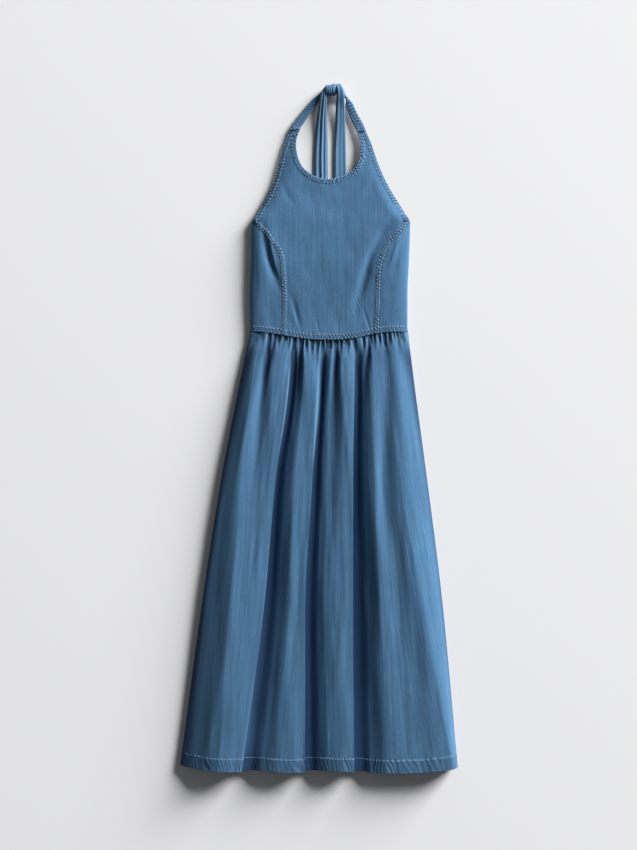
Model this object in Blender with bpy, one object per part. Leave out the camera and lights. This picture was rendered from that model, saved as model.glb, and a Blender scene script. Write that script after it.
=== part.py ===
"""Halter dress in light denim, laid out face up on a flat surface.

Every table and dimension is in millimetres and is scaled to metres when a mesh is made. X runs across
the dress, Y from the hem up to the neck, and Z up from the surface. The origin is the middle of the
footprint, on the surface. Each cut piece is one closed wall of cloth.
"""

import bpy
import numpy as np

MM = 0.001

# Cloth, seams and edges
WALL = 1.1
SEAM_GAP = 0.3
WAIST_GAP = 0.5
EDGE_BAND = 7.0
PRINCESS_BAND = 5.0
WAIST_BAND = 11.0
PRINCESS_STEPS = 12
HEM_DEPTH = 25.0
BAND_RISE = 0.7
BAND_STEP = 1.2
SEAM_LIFT = WALL + SEAM_GAP
ROLL = 30.0
ROLL_UNDER = 4.0

# Outlines in plan, each a list of (x, y)
ARMHOLE_L = [(-54, 569), (-66, 539), (-75, 508), (-84, 474), (-95, 447), (-111, 418), (-125.5, 393)]
ARMHOLE_R = [(87, 569), (99, 541), (109, 512), (120, 484), (132, 459), (148, 432), (162, 410), (171.5, 394)]
NECKLINE = [(-34, 571), (-43, 544), (-41, 518), (-32, 496), (-15, 481), (3, 473), (23, 472),
            (46, 478), (64, 489), (74, 504), (78, 523), (77, 546), (70, 567)]
PRINCESS_L = [(-125.5, 393), (-104, 374), (-91, 357), (-77, 339), (-70, 318), (-68, 295), (-67, 271),
              (-66, 241), (-66, 174)]
PRINCESS_R = [(171.5, 394), (155, 376), (140, 361), (127, 342), (117, 317), (113, 295), (112, 263),
              (111, 230), (109, 177)]
WAIST = [(-130, 183), (-106, 181), (-85, 178), (-57, 173), (-25, 168), (10, 166), (45, 167),
         (75, 171), (103, 177), (130, 181), (170, 182)]
HEM = [(-264, -640), (-211, -648), (-124, -649), (-55, -651), (-4, -649), (66, -650), (110, -653),
       (190, -651), (264, -643)]
UNDERARM_Y = 390.0

# The front of the bodice from side to side: where it lies at each height, and how high it stands
BODICE_ROWS = [
    # y, left side, right side, height in the middle, height at the sides
    dict(y=150, left=-130, right=168, middle=15.0, side=7.5),
    dict(y=183, left=-130, right=168, middle=15.0, side=7.5),
    dict(y=250, left=-131, right=168, middle=17.0, side=8.0),
    dict(y=320, left=-129, right=171, middle=19.0, side=8.0),
    dict(y=390, left=-128, right=173, middle=17.5, side=7.5),
    dict(y=418, left=-110, right=155, middle=16.0, side=7.0),
    dict(y=447, left=-95, right=138, middle=14.5, side=6.5),
    dict(y=474, left=-84, right=124, middle=13.0, side=6.0),
    dict(y=508, left=-75, right=110, middle=11.0, side=5.5),
    dict(y=539, left=-66, right=98, middle=9.0, side=5.0),
    dict(y=575, left=-52, right=85, middle=7.0, side=4.5),
]

# Soft creases pressed into the front of the bodice, each along three points
BODICE_CREASES = [
    dict(top=(-108, 366), bend=(-96, 322), end=(-78, 262), width=6.0, depth=4.5),
    dict(top=(136, 388), bend=(104, 338), end=(76, 262), width=9.0, depth=4.5),
    dict(top=(-48, 234), bend=(-40, 206), end=(-31, 182), width=4.0, depth=2.0),
]

# Heights down the skirt, as shares of its length, at which the fold tables are given
SKIRT_STATIONS = (0.0, 0.12, 0.33, 0.61, 1.0)

# Long folds of the front skirt, from the left side seam to the right one. x and z hold a value for
# each station. A crest is a line along the top of a fold, an edge is where the cloth turns under and
# drops, and a trough is the bottom between two folds.
FRONT_FOLDS = [
    dict(name="seam_left", x=(-126, -143, -177, -213, -256), z=(1.4, 1.4, 1.4, 1.4, 1.4)),
    dict(name="side_left", x=(-131, -151, -184, -220, -263.4), z=(6, 8, 9, 9, 8)),
    dict(name="shoulder_left", x=(-125, -141, -168, -197, -232), z=(11, 16, 20, 21, 21)),
    dict(name="crest_left", x=(-112, -124, -146, -164, -188), z=(15, 23, 29, 34, 37)),
    dict(name="edge_left", x=(-53, -60, -82, -103, -146), z=(15, 24, 29, 32, 34)),
    dict(name="under_left", x=(-49, -57, -83, -105, -148), z=(13, 14, 15, 16, 17)),
    dict(name="trough_left", x=(-44, -50, -75, -93, -130), z=(12, 12, 13, 13, 13)),
    dict(name="rise_left", x=(-38, -43, -63, -77, -108), z=(14, 19, 21, 21, 22)),
    dict(name="crest_mid_left", x=(-27, -30, -45, -54, -78), z=(17, 26, 29, 31, 31)),
    dict(name="edge_mid_left", x=(0, -5, -13, -26, -27), z=(16, 25, 29, 31, 33)),
    dict(name="under_mid_left", x=(5, 2, -14, -28, -29), z=(13, 15, 14, 14, 14)),
    dict(name="trough_mid_left", x=(10, 6, -5, -17, -16), z=(12, 12, 12, 12, 12)),
    dict(name="rise_centre", x=(15, 13, 5, -1, 2), z=(14, 19, 20, 20, 20)),
    dict(name="crest_centre", x=(25, 24, 17, 12, 20), z=(16, 24, 26, 26, 27)),
    dict(name="crest_mid_right", x=(49, 49, 48, 45, 47), z=(17, 27, 30, 31, 32)),
    dict(name="edge_mid_right", x=(65, 66, 64, 64, 66), z=(16, 25, 29, 31, 32)),
    dict(name="under_mid_right", x=(68, 67, 62, 62, 64), z=(13, 14, 14, 14, 14)),
    dict(name="trough_mid_right", x=(74, 74, 72, 75, 80), z=(12, 12, 12, 12, 12)),
    dict(name="rise_right", x=(84, 84, 86, 93, 100), z=(14, 19, 21, 21, 20)),
    dict(name="crest_right", x=(98, 104, 106, 118, 130), z=(16, 25, 30, 33, 28)),
    dict(name="trough_right", x=(120, 125, 124, 146, 175), z=(14, 22, 26, 31, 31)),
    dict(name="crest_far_right", x=(142, 146, 154, 190, 250), z=(16, 26, 32, 35, 34)),
    dict(name="side_right", x=(169, 181, 204, 233, 263), z=(7, 11, 13, 13, 13)),
    dict(name="seam_right", x=(164, 173, 197, 226, 256), z=(1.4, 1.4, 1.4, 1.4, 1.4)),
]

# Short folds and gathers of the front skirt, which start at the waist seam and die out below it
FRONT_GATHERS = [
    # x at the waist seam, drift sideways by the end, length, depth
    dict(x=-124, drift=-4, length=60, depth=2.5),
    dict(x=-117, drift=-2, length=45, depth=3.0),
    dict(x=-107, drift=0, length=26, depth=2.0),
    dict(x=-93, drift=22, length=600, depth=7.0),
    dict(x=-82, drift=-8, length=110, depth=4.5),
    dict(x=-74, drift=3, length=30, depth=2.0),
    dict(x=-64, drift=-6, length=40, depth=2.5),
    dict(x=-46, drift=-6, length=90, depth=4.0),
    dict(x=-34, drift=13, length=240, depth=5.0),
    dict(x=-24, drift=5, length=50, depth=3.0),
    dict(x=-14, drift=5, length=60, depth=3.5),
    dict(x=-4, drift=3, length=70, depth=3.5),
    dict(x=7, drift=2, length=60, depth=3.0),
    dict(x=18, drift=-4, length=46, depth=3.5),
    dict(x=33, drift=-5, length=640, depth=8.0),
    dict(x=42, drift=-6, length=60, depth=4.0),
    dict(x=55, drift=-2, length=40, depth=2.5),
    dict(x=68, drift=2, length=50, depth=3.0),
    dict(x=84, drift=-1, length=36, depth=2.5),
    dict(x=96, drift=-22, length=190, depth=5.0),
    dict(x=103, drift=-2, length=40, depth=2.5),
    dict(x=112, drift=3, length=36, depth=2.5),
    dict(x=122, drift=4, length=60, depth=3.0),
    dict(x=133, drift=-3, length=40, depth=2.5),
    dict(x=148, drift=1, length=56, depth=3.5),
    dict(x=157, drift=3, length=30, depth=2.0),
]
GATHER_WIDTH = 2.6
GATHER_SPREAD = 0.05
WAIST_STEP = 0.6
WAIST_EASE = 36.0
LOWEST = 11.6

# The hidden back lies flat, and its folds rise off the surface between flat stretches
BACK_GATHERS = 20
BACK_LONG_EVERY = 4
BACK_RISE = 3.2
BACK_SHORT_FADE = 0.22
BACK_LONG_FADE = 1.3

# Straps from the bodice's two prongs to the knot, and the tie ends that hang from it. seam and knot
# are each half of the line where a strap is sewn on or goes in, as a step in x and y from its middle.
STRAP_LEFT = dict(path=[(-44, 570.4), (-26, 596), (-9, 618), (4.1, 634.5)],
                  width=(18, 15, 14, 11), base=(4.5, 3.4, 2.4, 4.0), thick=(2.4, 2.6, 3.0, 4.5),
                  seam=(10.0, 1.0), knot=(0.0, -4.0))
STRAP_RIGHT = dict(path=[(78.5, 568.4), (71, 585), (61, 608), (51.4, 629.0)],
                   width=(16.5, 16.5, 15.5, 12), base=(4.5, 3.4, 2.4, 4.0), thick=(2.4, 2.6, 3.0, 4.5),
                   seam=(8.5, 1.0), knot=(0.0, 4.0))
TIE_LEFT = dict(path=[(8, 628.2), (6, 600), (4.5, 560), (3.5, 500), (3, 402)],
                width=(11, 22, 26, 28, 28), base=(8.0, 6.6, 0.6, 0, 0), thick=(5.0, 3.2, 2.4, 2.2, 2.2))
TIE_RIGHT = dict(path=[(38.5, 627.8), (40.5, 604), (40.5, 560), (40, 500), (40, 402)],
                 width=(12, 20, 24, 26, 26), base=(8.0, 6.2, 0.6, 0, 0), thick=(5.0, 3.2, 2.4, 2.2, 2.2))
TIE_PLEATS = [
    # place across the tie, from -1 to 1, and height of the lengthwise fold
    dict(across=-0.45, rise=2.2, width=0.22),
    dict(across=0.35, rise=2.6, width=0.20),
]

# Knot: a bunched core from strap to strap, and one turn of the tie round it
KNOT_CORE = [
    # x, middle y, half height in plan, lowest and highest z
    dict(x=4.5, y=634.5, half=4.5, low=3.2, high=11.0),
    dict(x=8, y=636.5, half=7.5, low=2.6, high=15.0),
    dict(x=14, y=639.5, half=9.0, low=2.4, high=17.0),
    dict(x=22, y=640.2, half=9.2, low=2.4, high=18.0),
    dict(x=30, y=641.5, half=9.8, low=2.4, high=17.5),
    dict(x=37, y=642.5, half=10.5, low=2.6, high=17.0),
    dict(x=43, y=639.0, half=9.8, low=2.8, high=15.0),
    dict(x=48, y=633.0, half=7.2, low=3.2, high=12.0),
    dict(x=51, y=629.0, half=4.5, low=3.6, high=9.5),
]
KNOT_SIDES = 16
WRAP_FROM = 13.0
WRAP_TO = 31.0
WRAP_THICK = 1.8

DENIM = dict(name="denim", colour=(0.105, 0.215, 0.365, 1.0), roughness=0.85)


def clear_scene():
    for old in list(bpy.data.objects):
        bpy.data.objects.remove(old)


def cloth_material():
    material = bpy.data.materials.new(DENIM["name"])
    material.use_nodes = True
    shader = material.node_tree.nodes["Principled BSDF"]
    shader.inputs["Base Color"].default_value = DENIM["colour"]
    shader.inputs["Roughness"].default_value = DENIM["roughness"]
    shader.inputs["Metallic"].default_value = 0.0
    return material


def eased(t):
    t = np.clip(t, 0.0, 1.0)
    return t * t * (3.0 - 2.0 * t)


def slopes(at, values):
    """Slopes for a cubic through the values that never overshoots them."""
    step = np.diff(at)
    rise = np.diff(values, axis=0) / step[:, None]
    made = np.zeros_like(values)
    before, after = rise[:-1], rise[1:]
    same_way = before * after > 0
    mean = 2.0 * before * after / np.where(same_way, before + after, 1.0)
    made[1:-1] = np.where(same_way, mean, 0.0)
    made[0], made[-1] = rise[0], rise[-1]
    return made


def through(at, values, wanted):
    """A smooth curve through values given at the places in at, read at the wanted places."""
    at = np.asarray(at, float)
    values = np.asarray(values, float)
    flat = values.ndim == 1
    values = values[:, None] if flat else values
    wanted = np.clip(np.asarray(wanted, float), at[0], at[-1])
    tangent = slopes(at, values)
    i = np.clip(np.searchsorted(at, wanted, side="right") - 1, 0, len(at) - 2)
    step = (at[i + 1] - at[i])[:, None]
    t = (wanted - at[i])[:, None] / step
    read = ((2 * t**3 - 3 * t**2 + 1) * values[i] + (t**3 - 2 * t**2 + t) * step * tangent[i]
            + (3 * t**2 - 2 * t**3) * values[i + 1] + (t**3 - t**2) * step * tangent[i + 1])
    return read[:, 0] if flat else read


def along(points, shares):
    """Points at shares of the length of a smooth line drawn through the given points."""
    points = np.asarray(points, float)
    ahead = np.vstack([2 * points[0] - points[1], points, 2 * points[-1] - points[-2]])
    t = np.linspace(0, 1, 24, endpoint=False)[:, None]
    runs = []
    for a, b, c, d in zip(ahead[:-3], ahead[1:-2], ahead[2:-1], ahead[3:]):
        runs.append(0.5 * (2 * b + (c - a) * t + (2 * a - 5 * b + 4 * c - d) * t**2
                           + (3 * b - a - 3 * c + d) * t**3))
    line = np.vstack(runs + [points[-1:]])
    length = np.concatenate([[0.0], np.cumsum(np.linalg.norm(np.diff(line, axis=0), axis=1))])
    wanted = np.asarray(shares, float) * length[-1]
    return np.stack([np.interp(wanted, length, line[:, k]) for k in range(line.shape[1])], axis=1)


def height_on(outline, x):
    """The y of an outline that runs from left to right, at the given x."""
    line = along(outline, np.linspace(0, 1, 200))
    return np.interp(x, line[:, 0], line[:, 1])


def bodice_row(y):
    """The left side, right side, middle height and side height of the front bodice at each y."""
    table = [[row[k] for k in ("left", "right", "middle", "side")] for row in BODICE_ROWS]
    return through([row["y"] for row in BODICE_ROWS], table, np.ravel(y)).T.reshape((4,) + np.shape(y))


def crease_depth(x, y):
    """How far the soft creases sink the front bodice."""
    total = np.zeros_like(x)
    for crease in BODICE_CREASES:
        line = along([crease["top"], crease["bend"], crease["end"]], np.linspace(0, 1, 25))
        away = np.hypot(x[..., None] - line[:, 0], y[..., None] - line[:, 1])
        nearest = away.argmin(axis=-1)
        taper = np.sin(np.pi * np.linspace(0.04, 0.96, len(line)))[nearest]
        total += crease["depth"] * taper * np.exp(-(away.min(axis=-1) / crease["width"]) ** 2)
    return total


def bodice_height(x, y):
    """Height of the outer face of the front bodice."""
    left, right, middle, side = bodice_row(y)
    inward = np.clip(np.minimum(x - left, right - x) / ROLL, 0.0, 1.0)
    # The rolled side is a quarter ellipse below the underarm, and a soft slope along the armhole
    roundness = 0.5 + 0.4 * eased((y - UNDERARM_Y + 10.0) / 50.0)
    rise = (1.0 - (1.0 - inward) ** 2) ** roundness
    return side + (middle - side) * rise - crease_depth(x, y) * inward


def normals_of(grid):
    """Unit normals of a grid of points, its columns to the right and its rows downwards."""
    across = np.gradient(grid, axis=1)
    down = np.gradient(grid, axis=0)
    normal = np.cross(down, across)
    return normal / np.maximum(np.linalg.norm(normal, axis=2, keepdims=True), 1e-9)


def make_solid(name, points, faces, material):
    mesh = bpy.data.meshes.new(name)
    mesh.from_pydata([tuple(p) for p in np.asarray(points) * MM], [], faces)
    mesh.materials.append(material)
    mesh.shade_smooth()
    solid = bpy.data.objects.new(name, mesh)
    bpy.context.scene.collection.objects.link(solid)
    return solid


def make_wall(name, outer, inner, material):
    """One closed wall between an upper and a lower grid of points of the same size."""
    rows, columns, _ = outer.shape
    count = rows * columns
    faces = []
    for i in range(rows - 1):
        for j in range(columns - 1):
            a, b = i * columns + j, i * columns + j + 1
            c, d = b + columns, a + columns
            faces.append((a, d, c, b))
            faces.append((a + count, b + count, c + count, d + count))
    rim = ([(0, j) for j in range(columns)]
           + [(i, columns - 1) for i in range(1, rows)]
           + [(rows - 1, j) for j in range(columns - 2, -1, -1)]
           + [(i, 0) for i in range(rows - 2, 0, -1)])
    for (i, j), (k, m) in zip(rim, rim[1:] + rim[:1]):
        a, b = i * columns + j, k * columns + m
        faces.append((a, b, b + count, a + count))
    points = np.vstack([outer.reshape(-1, 3), inner.reshape(-1, 3)])
    return make_solid(name, points, faces, material)


def princess_seam(line, side):
    """Points along a princess seam that the two panels share, moved half the gap to one side."""
    share = np.linspace(0, 1, PRINCESS_STEPS + 1)
    points = along(line, share) + [SEAM_GAP / 2 * side, 0]
    points[:, 1] -= share**4 * (points[-1, 1] - height_on(WAIST, points[-1, 0]))
    return points


def centre_panel_plan():
    """The plan of the centre front, fanned from the neckline out to its other edges.

    Returns the points, the share of the wall's raised edge at each, and the number of columns on
    each princess seam.
    """
    arm, princess, waist = 9, PRINCESS_STEPS, 16
    seam_l = princess_seam(PRINCESS_L, 1)
    seam_r = princess_seam(PRINCESS_R, -1)
    waist_x = np.linspace(seam_l[-1, 0], seam_r[-1, 0], waist + 1)
    waist_line = np.stack([waist_x, height_on(WAIST, waist_x)], axis=1)
    arm_l = along(ARMHOLE_L, np.linspace(0, 1, arm + 1))
    arm_r = along(ARMHOLE_R, np.linspace(0, 1, arm + 1))
    outer = np.vstack([arm_l[:-1], seam_l[:-1], waist_line[:-1], seam_r[::-1][:-1], arm_r[::-1]])
    band = np.concatenate([np.full(arm, EDGE_BAND), np.full(princess, PRINCESS_BAND),
                           np.full(waist, WAIST_BAND), np.full(princess, PRINCESS_BAND),
                           np.full(arm + 1, EDGE_BAND)])
    ends = np.array([0.0, 0.34, 0.44, 0.56, 0.66, 1.0])
    counts = (arm, princess, waist, princess, arm)
    shares = np.concatenate([np.linspace(a, b, n, endpoint=False)
                             for a, b, n in zip(ends[:-1], ends[1:], counts)] + [[1.0]])
    inner = along(NECKLINE, shares)
    ray = outer - inner
    length = np.linalg.norm(ray, axis=1)
    edge = np.gradient(outer, axis=0)
    edge /= np.linalg.norm(edge, axis=1)[:, None]
    squareness = np.abs(ray[:, 0] * edge[:, 1] - ray[:, 1] * edge[:, 0]) / length
    # The raised bands are measured square to the edges, so a slanting ray crosses more of them
    out_band = np.minimum(band / np.maximum(squareness, 0.3), 0.38 * length)
    in_band = np.minimum(EDGE_BAND, 0.38 * length)
    step = np.minimum(BAND_STEP, 0.06 * length)
    first, last = in_band + step, length - out_band - step
    middle = [first + (last - first) * t for t in (0.25, 0.5, 0.75)]
    marks = np.stack([0 * length, in_band, first, *middle, last, length - out_band, length])
    points = inner + (marks / length)[..., None] * ray
    raised = np.zeros(marks.shape)
    raised[[0, 1, -2, -1]] = 1.0
    return points, raised


def raise_to_wall(name, plan, raised, material):
    """A wall on the front bodice's height, thicker where its edge is turned and stitched."""
    x, y = plan[..., 0], plan[..., 1]
    base = np.dstack([x, y, bodice_height(x, y)])
    normal = normals_of(base)
    normal = np.where(normal[..., 2:3] < 0, -normal, normal)
    inner = base - WALL * normal
    # At the panel's own rim the wall is cut straight down, so that it keeps its gap to the next
    inner[[0, -1]] = base[[0, -1]] - [0, 0, WALL]
    inner[:, [0, -1]] = base[:, [0, -1]] - [0, 0, WALL]
    outer = base + np.dstack([0 * x, 0 * x, BAND_RISE * raised])
    return make_wall(name, outer, inner, material)


def build_centre_front(material):
    plan, raised = centre_panel_plan()
    return raise_to_wall("bodice_front_centre", plan, raised, material)


def build_side_front(name, side, material):
    """A side front panel: from the princess seam, over the rolled side, to the side seam below."""
    left = side < 0
    seam = princess_seam(PRINCESS_L if left else PRINCESS_R, side)
    # The band above the waist seam starts on two rows of its own, one step apart
    last = seam[-2, 1] - seam[-1, 1]
    band_rows = PRINCESS_STEPS - np.array([WAIST_BAND + BAND_STEP, WAIST_BAND]) / last
    steps = np.sort(np.concatenate([np.arange(PRINCESS_STEPS + 1), band_rows]))
    seam = np.stack([np.interp(steps, np.arange(PRINCESS_STEPS + 1), seam[:, k]) for k in (0, 1)], axis=1)
    low = (WAIST[0] if left else WAIST[-1])[1]
    side_y = UNDERARM_Y - 1.0 + (low - UNDERARM_Y + 1.0) * steps / PRINCESS_STEPS
    edges = bodice_row(side_y)
    side_x = edges[0] if left else edges[1]
    rows = []
    flags = []
    for (x0, y0), x1, y1, side_z in zip(seam, side_x, side_y, edges[3]):
        reach = (x1 - x0) * side
        t = np.array([0.0, 0.12, 0.16, 0.35, 0.55, 0.75, 0.9, 1.0])
        band = min(PRINCESS_BAND / max(reach, 1e-6), 0.4)
        t[1], t[2] = band, min(band + BAND_STEP / max(reach, 1e-6), 0.46)
        t[3:] = t[2] + (1 - t[2]) * np.sin(np.pi / 2 * np.array([0.3, 0.55, 0.75, 0.9, 1.0]))
        x = x0 + (x1 - x0) * t
        y = y0 + (y1 - y0) * t
        z = bodice_height(x, y)
        z[-1] = side_z
        # Round the side and down to the seam on the surface
        under = np.array([0.45, 1.0])
        x = np.append(x, x1 - side * ROLL_UNDER * under**2)
        y = np.append(y, [y1, y1])
        z = np.append(z, side_z + (SEAM_LIFT - side_z) * under)
        rows.append(np.stack([x, y, z], axis=1))
        flags.append([1, 1] + [0] * (len(x) - 2))
    base = np.array(rows)
    base[-1, :, 1] = height_on(WAIST, base[-1, :, 0])
    normal = normals_of(base)
    if left:
        normal = -normal
    inner = base - WALL * normal
    inner[:, 0] = base[:, 0] - [0, 0, WALL]
    for row in (0, -1):
        inner[row, :, 1] = base[row, :, 1]
    inner[:, -1, 2] = np.maximum(inner[:, -1, 2], SEAM_LIFT)
    waist_rise = np.zeros(base.shape[:2])
    waist_rise[-2:, :-2] = 1.0
    lift = np.maximum(np.array(flags, float), waist_rise) * BAND_RISE
    outer = base + np.dstack([0 * lift, 0 * lift, lift])
    if left:
        outer, inner = outer[:, ::-1], inner[:, ::-1]
    return make_wall(name, outer, inner, material)


def build_back_bodice(material):
    """The hidden back of the bodice: a plain panel that lies on the surface."""
    share = np.linspace(0, 1, 17)
    rows = []
    for t in np.linspace(0, 1, 7):
        y_side = UNDERARM_Y - 1.0 + t * (WAIST[0][1] - UNDERARM_Y + 1.0)
        left, right = bodice_row(np.array([y_side]))[:2, 0]
        x = (left + ROLL_UNDER) + (right - left - 2 * ROLL_UNDER) * share
        dip = 10.0 * np.sin(np.pi * share) * (1 - t)
        y = (1 - t) * (UNDERARM_Y - 1.0 - dip) + t * height_on(WAIST, x)
        rows.append(np.stack([x, y, 0 * x], axis=1))
    under = np.array(rows)
    # Two soft creases lift off the surface
    for centre, rise, width in ((-45.0, 2.4, 9.0), (82.0, 2.0, 8.0)):
        bump = rise * np.exp(-((under[..., 0] - centre) / width) ** 2)
        under[..., 2] += bump * np.sin(np.pi * np.linspace(0, 1, 7))[:, None]
    top = under + [0, 0, WALL]
    return make_wall("bodice_back", top, under, material)


def gather_sink(x, down):
    """How far the gathers sink the front skirt, at x along the waist seam and so far down from it."""
    total = np.zeros_like(x)
    for g in FRONT_GATHERS:
        t = down / g["length"]
        middle = g["x"] + g["drift"] * np.clip(t, 0, 1)
        width = GATHER_WIDTH + GATHER_SPREAD * np.minimum(down, g["length"])
        # A gather is shallow where the seam holds it, deepest a little below, and then dies out
        held = 0.45 + 0.55 * eased(down / 14.0)
        fade = 1.0 - eased(t)
        total += g["depth"] * held * fade * np.exp(-((x - middle) / width) ** 2)
    return total


def front_skirt_grid(column_shares, row_shares):
    """Points of the front skirt's outer face: one row for each share of its length."""
    fold_x = np.array([fold["x"] for fold in FRONT_FOLDS], float)
    fold_z = np.array([fold["z"] for fold in FRONT_FOLDS], float)
    apart = np.hypot(np.diff(fold_x.mean(axis=1)), np.diff(fold_z.mean(axis=1)))
    place = np.concatenate([[0], np.cumsum(apart)]) / apart.sum()
    x_by_row = through(SKIRT_STATIONS, fold_x.T, row_shares)
    z_by_row = through(SKIRT_STATIONS, fold_z.T, row_shares)
    x_waist = through(place, x_by_row[0], column_shares)
    y_waist = height_on(WAIST, x_waist) - WAIST_GAP
    y_hem = height_on(HEM, through(place, fold_x[:, -1], column_shares))
    seam_z = bodice_height(x_waist, y_waist) - WAIST_STEP
    rows = []
    for i, v in enumerate(row_shares):
        x = through(place, x_by_row[i], column_shares)
        z = through(place, z_by_row[i], column_shares)
        y = y_waist + (y_hem - y_waist) * v
        down = y_waist - y
        # The gathers spread with the skirt, and leave the side seams and the inside of the skirt free
        across = np.interp(x, [x.min(), x.max()], [x_waist.min(), x_waist.max()])
        loose = eased((z - SEAM_LIFT) / 8.0)
        # The waist seam holds the skirt at the bodice's height, and it fills out below
        held = loose * (1.0 - eased(down / WAIST_EASE))
        z = z + (seam_z - z) * held
        z = np.maximum(z - loose * gather_sink(across, down), np.minimum(z, LOWEST))
        rows.append(np.stack([x, y, np.maximum(z, SEAM_LIFT)], axis=1))
    return np.array(rows)


def skirt_rows():
    """Shares of the skirt's length for the rows: close at the waist, and at the hem's turn-up."""
    length = WAIST[0][1] - HEM[0][1]
    hem_top = 1.0 - HEM_DEPTH / length
    hem_step = BAND_STEP / length
    down = [0.0, 0.007, 0.018, 0.034, 0.055, 0.085, 0.13, 0.19, 0.26, 0.34, 0.44, 0.55, 0.67, 0.79, 0.89]
    return np.array(down + [hem_top - hem_step, hem_top, 1.0])


def build_front_skirt(material):
    rows = skirt_rows()
    base = front_skirt_grid(np.linspace(0, 1, 121), rows)
    normal = normals_of(base)
    inner = base - WALL * normal
    inner[0, :, 1:] = base[0, :, 1:] - [0, WALL]
    inner[0, :, 0] = base[0, :, 0]
    inner[-1, :, 1] = base[-1, :, 1]
    inner[:, 0, 2] = np.maximum(inner[:, 0, 2], SEAM_LIFT)
    inner[:, -1, 2] = np.maximum(inner[:, -1, 2], SEAM_LIFT)
    outer = base.copy()
    outer[-2:, 2:-2] += BAND_RISE * normal[-2:, 2:-2]
    outer[-1, :, 1] = base[-1, :, 1]
    return make_wall("skirt_front", outer, inner, material)


def build_back_skirt(material):
    """The hidden back of the skirt: gathered like the front, and flat on the surface."""
    columns = 4 * BACK_GATHERS
    share = np.linspace(0, 1, columns + 1)
    stations = np.array([0.0, 0.03, 0.10, 0.22, 0.45, 0.72, 0.965, 1.0])
    left = through(SKIRT_STATIONS, FRONT_FOLDS[0]["x"], stations)
    right = through(SKIRT_STATIONS, FRONT_FOLDS[-1]["x"], stations)
    rows = []
    y_top = height_on(WAIST, left[0] + (right[0] - left[0]) * share) - WAIST_GAP
    y_hem = height_on(HEM, left[-1] + (right[-1] - left[-1]) * share)
    phase = np.arange(columns + 1) % 4 == 2
    number = np.arange(columns + 1) // 4
    long_fold = number % BACK_LONG_EVERY == 1
    for v, x0, x1 in zip(stations, left, right):
        x = x0 + (x1 - x0) * share
        y = y_top + (y_hem - y_top) * v
        fade = np.where(long_fold, 1 - v / BACK_LONG_FADE, 1 - v / BACK_SHORT_FADE)
        start = 0.4 + 0.6 * eased(v / 0.03)
        z = BACK_RISE * phase * np.clip(fade, 0, 1) * start
        rows.append(np.stack([x, y, z], axis=1))
    under = np.array(rows)
    top = under + [0, 0, WALL]
    return make_wall("skirt_back", top, under, material)


def tie_section(thick):
    """Points round a tie's section, across from -1 to 1 and up from its base, pleated lengthwise."""
    across = np.linspace(-1, 1, 9)
    fold = np.zeros_like(across)
    for pleat in TIE_PLEATS:
        fold += pleat["rise"] * np.exp(-((across - pleat["across"]) / pleat["width"]) ** 2)
    top = np.stack([across, thick + fold], axis=1)
    low = np.stack([across[::-1], 0.8 * fold[::-1]], axis=1)
    return np.vstack([top, low])


def build_strip(name, strip, steps, pleated, material):
    """A folded strip of cloth that follows a path in plan, with its own width, height and thickness."""
    share = np.linspace(0, 1, steps + 1)
    centre = along(strip["path"], share)
    given = np.linspace(0, 1, len(strip["path"]))
    width = through(given, strip["width"], share)
    base = through(given, strip["base"], share)
    thick = through(given, strip["thick"], share)
    heading = np.gradient(centre, axis=0)
    heading /= np.linalg.norm(heading, axis=1)[:, None]
    half = np.stack([heading[:, 1], -heading[:, 0]], axis=1) * width[:, None] / 2
    for end, from_end in (("seam", share), ("knot", 1 - share)):
        if end in strip:
            turned = eased(from_end / 0.3)[:, None]
            half = np.array(strip[end]) * (1 - turned) + half * turned
    rings = []
    for k in range(steps + 1):
        section = tie_section(thick[k])
        if not pleated:
            section[:, 1] = np.where(np.arange(len(section)) < 9, thick[k], 0.0)
            section[[0, 8, 9, 17], 1] += np.array([-0.2, -0.2, 0.2, 0.2]) * thick[k]
            section[4, 1] += 0.5
        rings.append(np.hstack([centre[k] + section[:, :1] * half[k], base[k] + section[:, 1:]]))
    points = np.vstack(rings)
    n = len(rings[0])
    faces = []
    for k in range(steps):
        for j in range(n):
            a, b = k * n + j, k * n + (j + 1) % n
            faces.append((a, b, b + n, a + n))
    # The two ends are closed by strips of quads between the upper and the lower half of the ring
    for ring, forward in ((0, True), (steps, False)):
        for j in range(n // 2 - 1):
            quad = (ring * n + j, ring * n + j + 1, ring * n + n - 2 - j, ring * n + n - 1 - j)
            faces.append(quad[::-1] if forward else quad)
    return make_solid(name, points, faces, material)


def knot_ring(row, grow=0.0):
    """One ring round the knot's core, grown outwards by the given amount."""
    angle = 2 * np.pi * np.arange(KNOT_SIDES) / KNOT_SIDES
    middle = (row["low"] + row["high"]) / 2
    y = row["y"] + (row["half"] + grow) * np.cos(angle)
    z = middle + ((row["high"] - row["low"]) / 2 + grow) * np.sin(angle)
    return np.stack([np.full(KNOT_SIDES, row["x"]), y, z], axis=1)


def knot_row_at(x):
    table = [[row[k] for k in ("y", "half", "low", "high")] for row in KNOT_CORE]
    y, half, low, high = through([row["x"] for row in KNOT_CORE], table, [x])[0]
    return dict(x=x, y=y, half=half, low=low, high=high)


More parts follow.
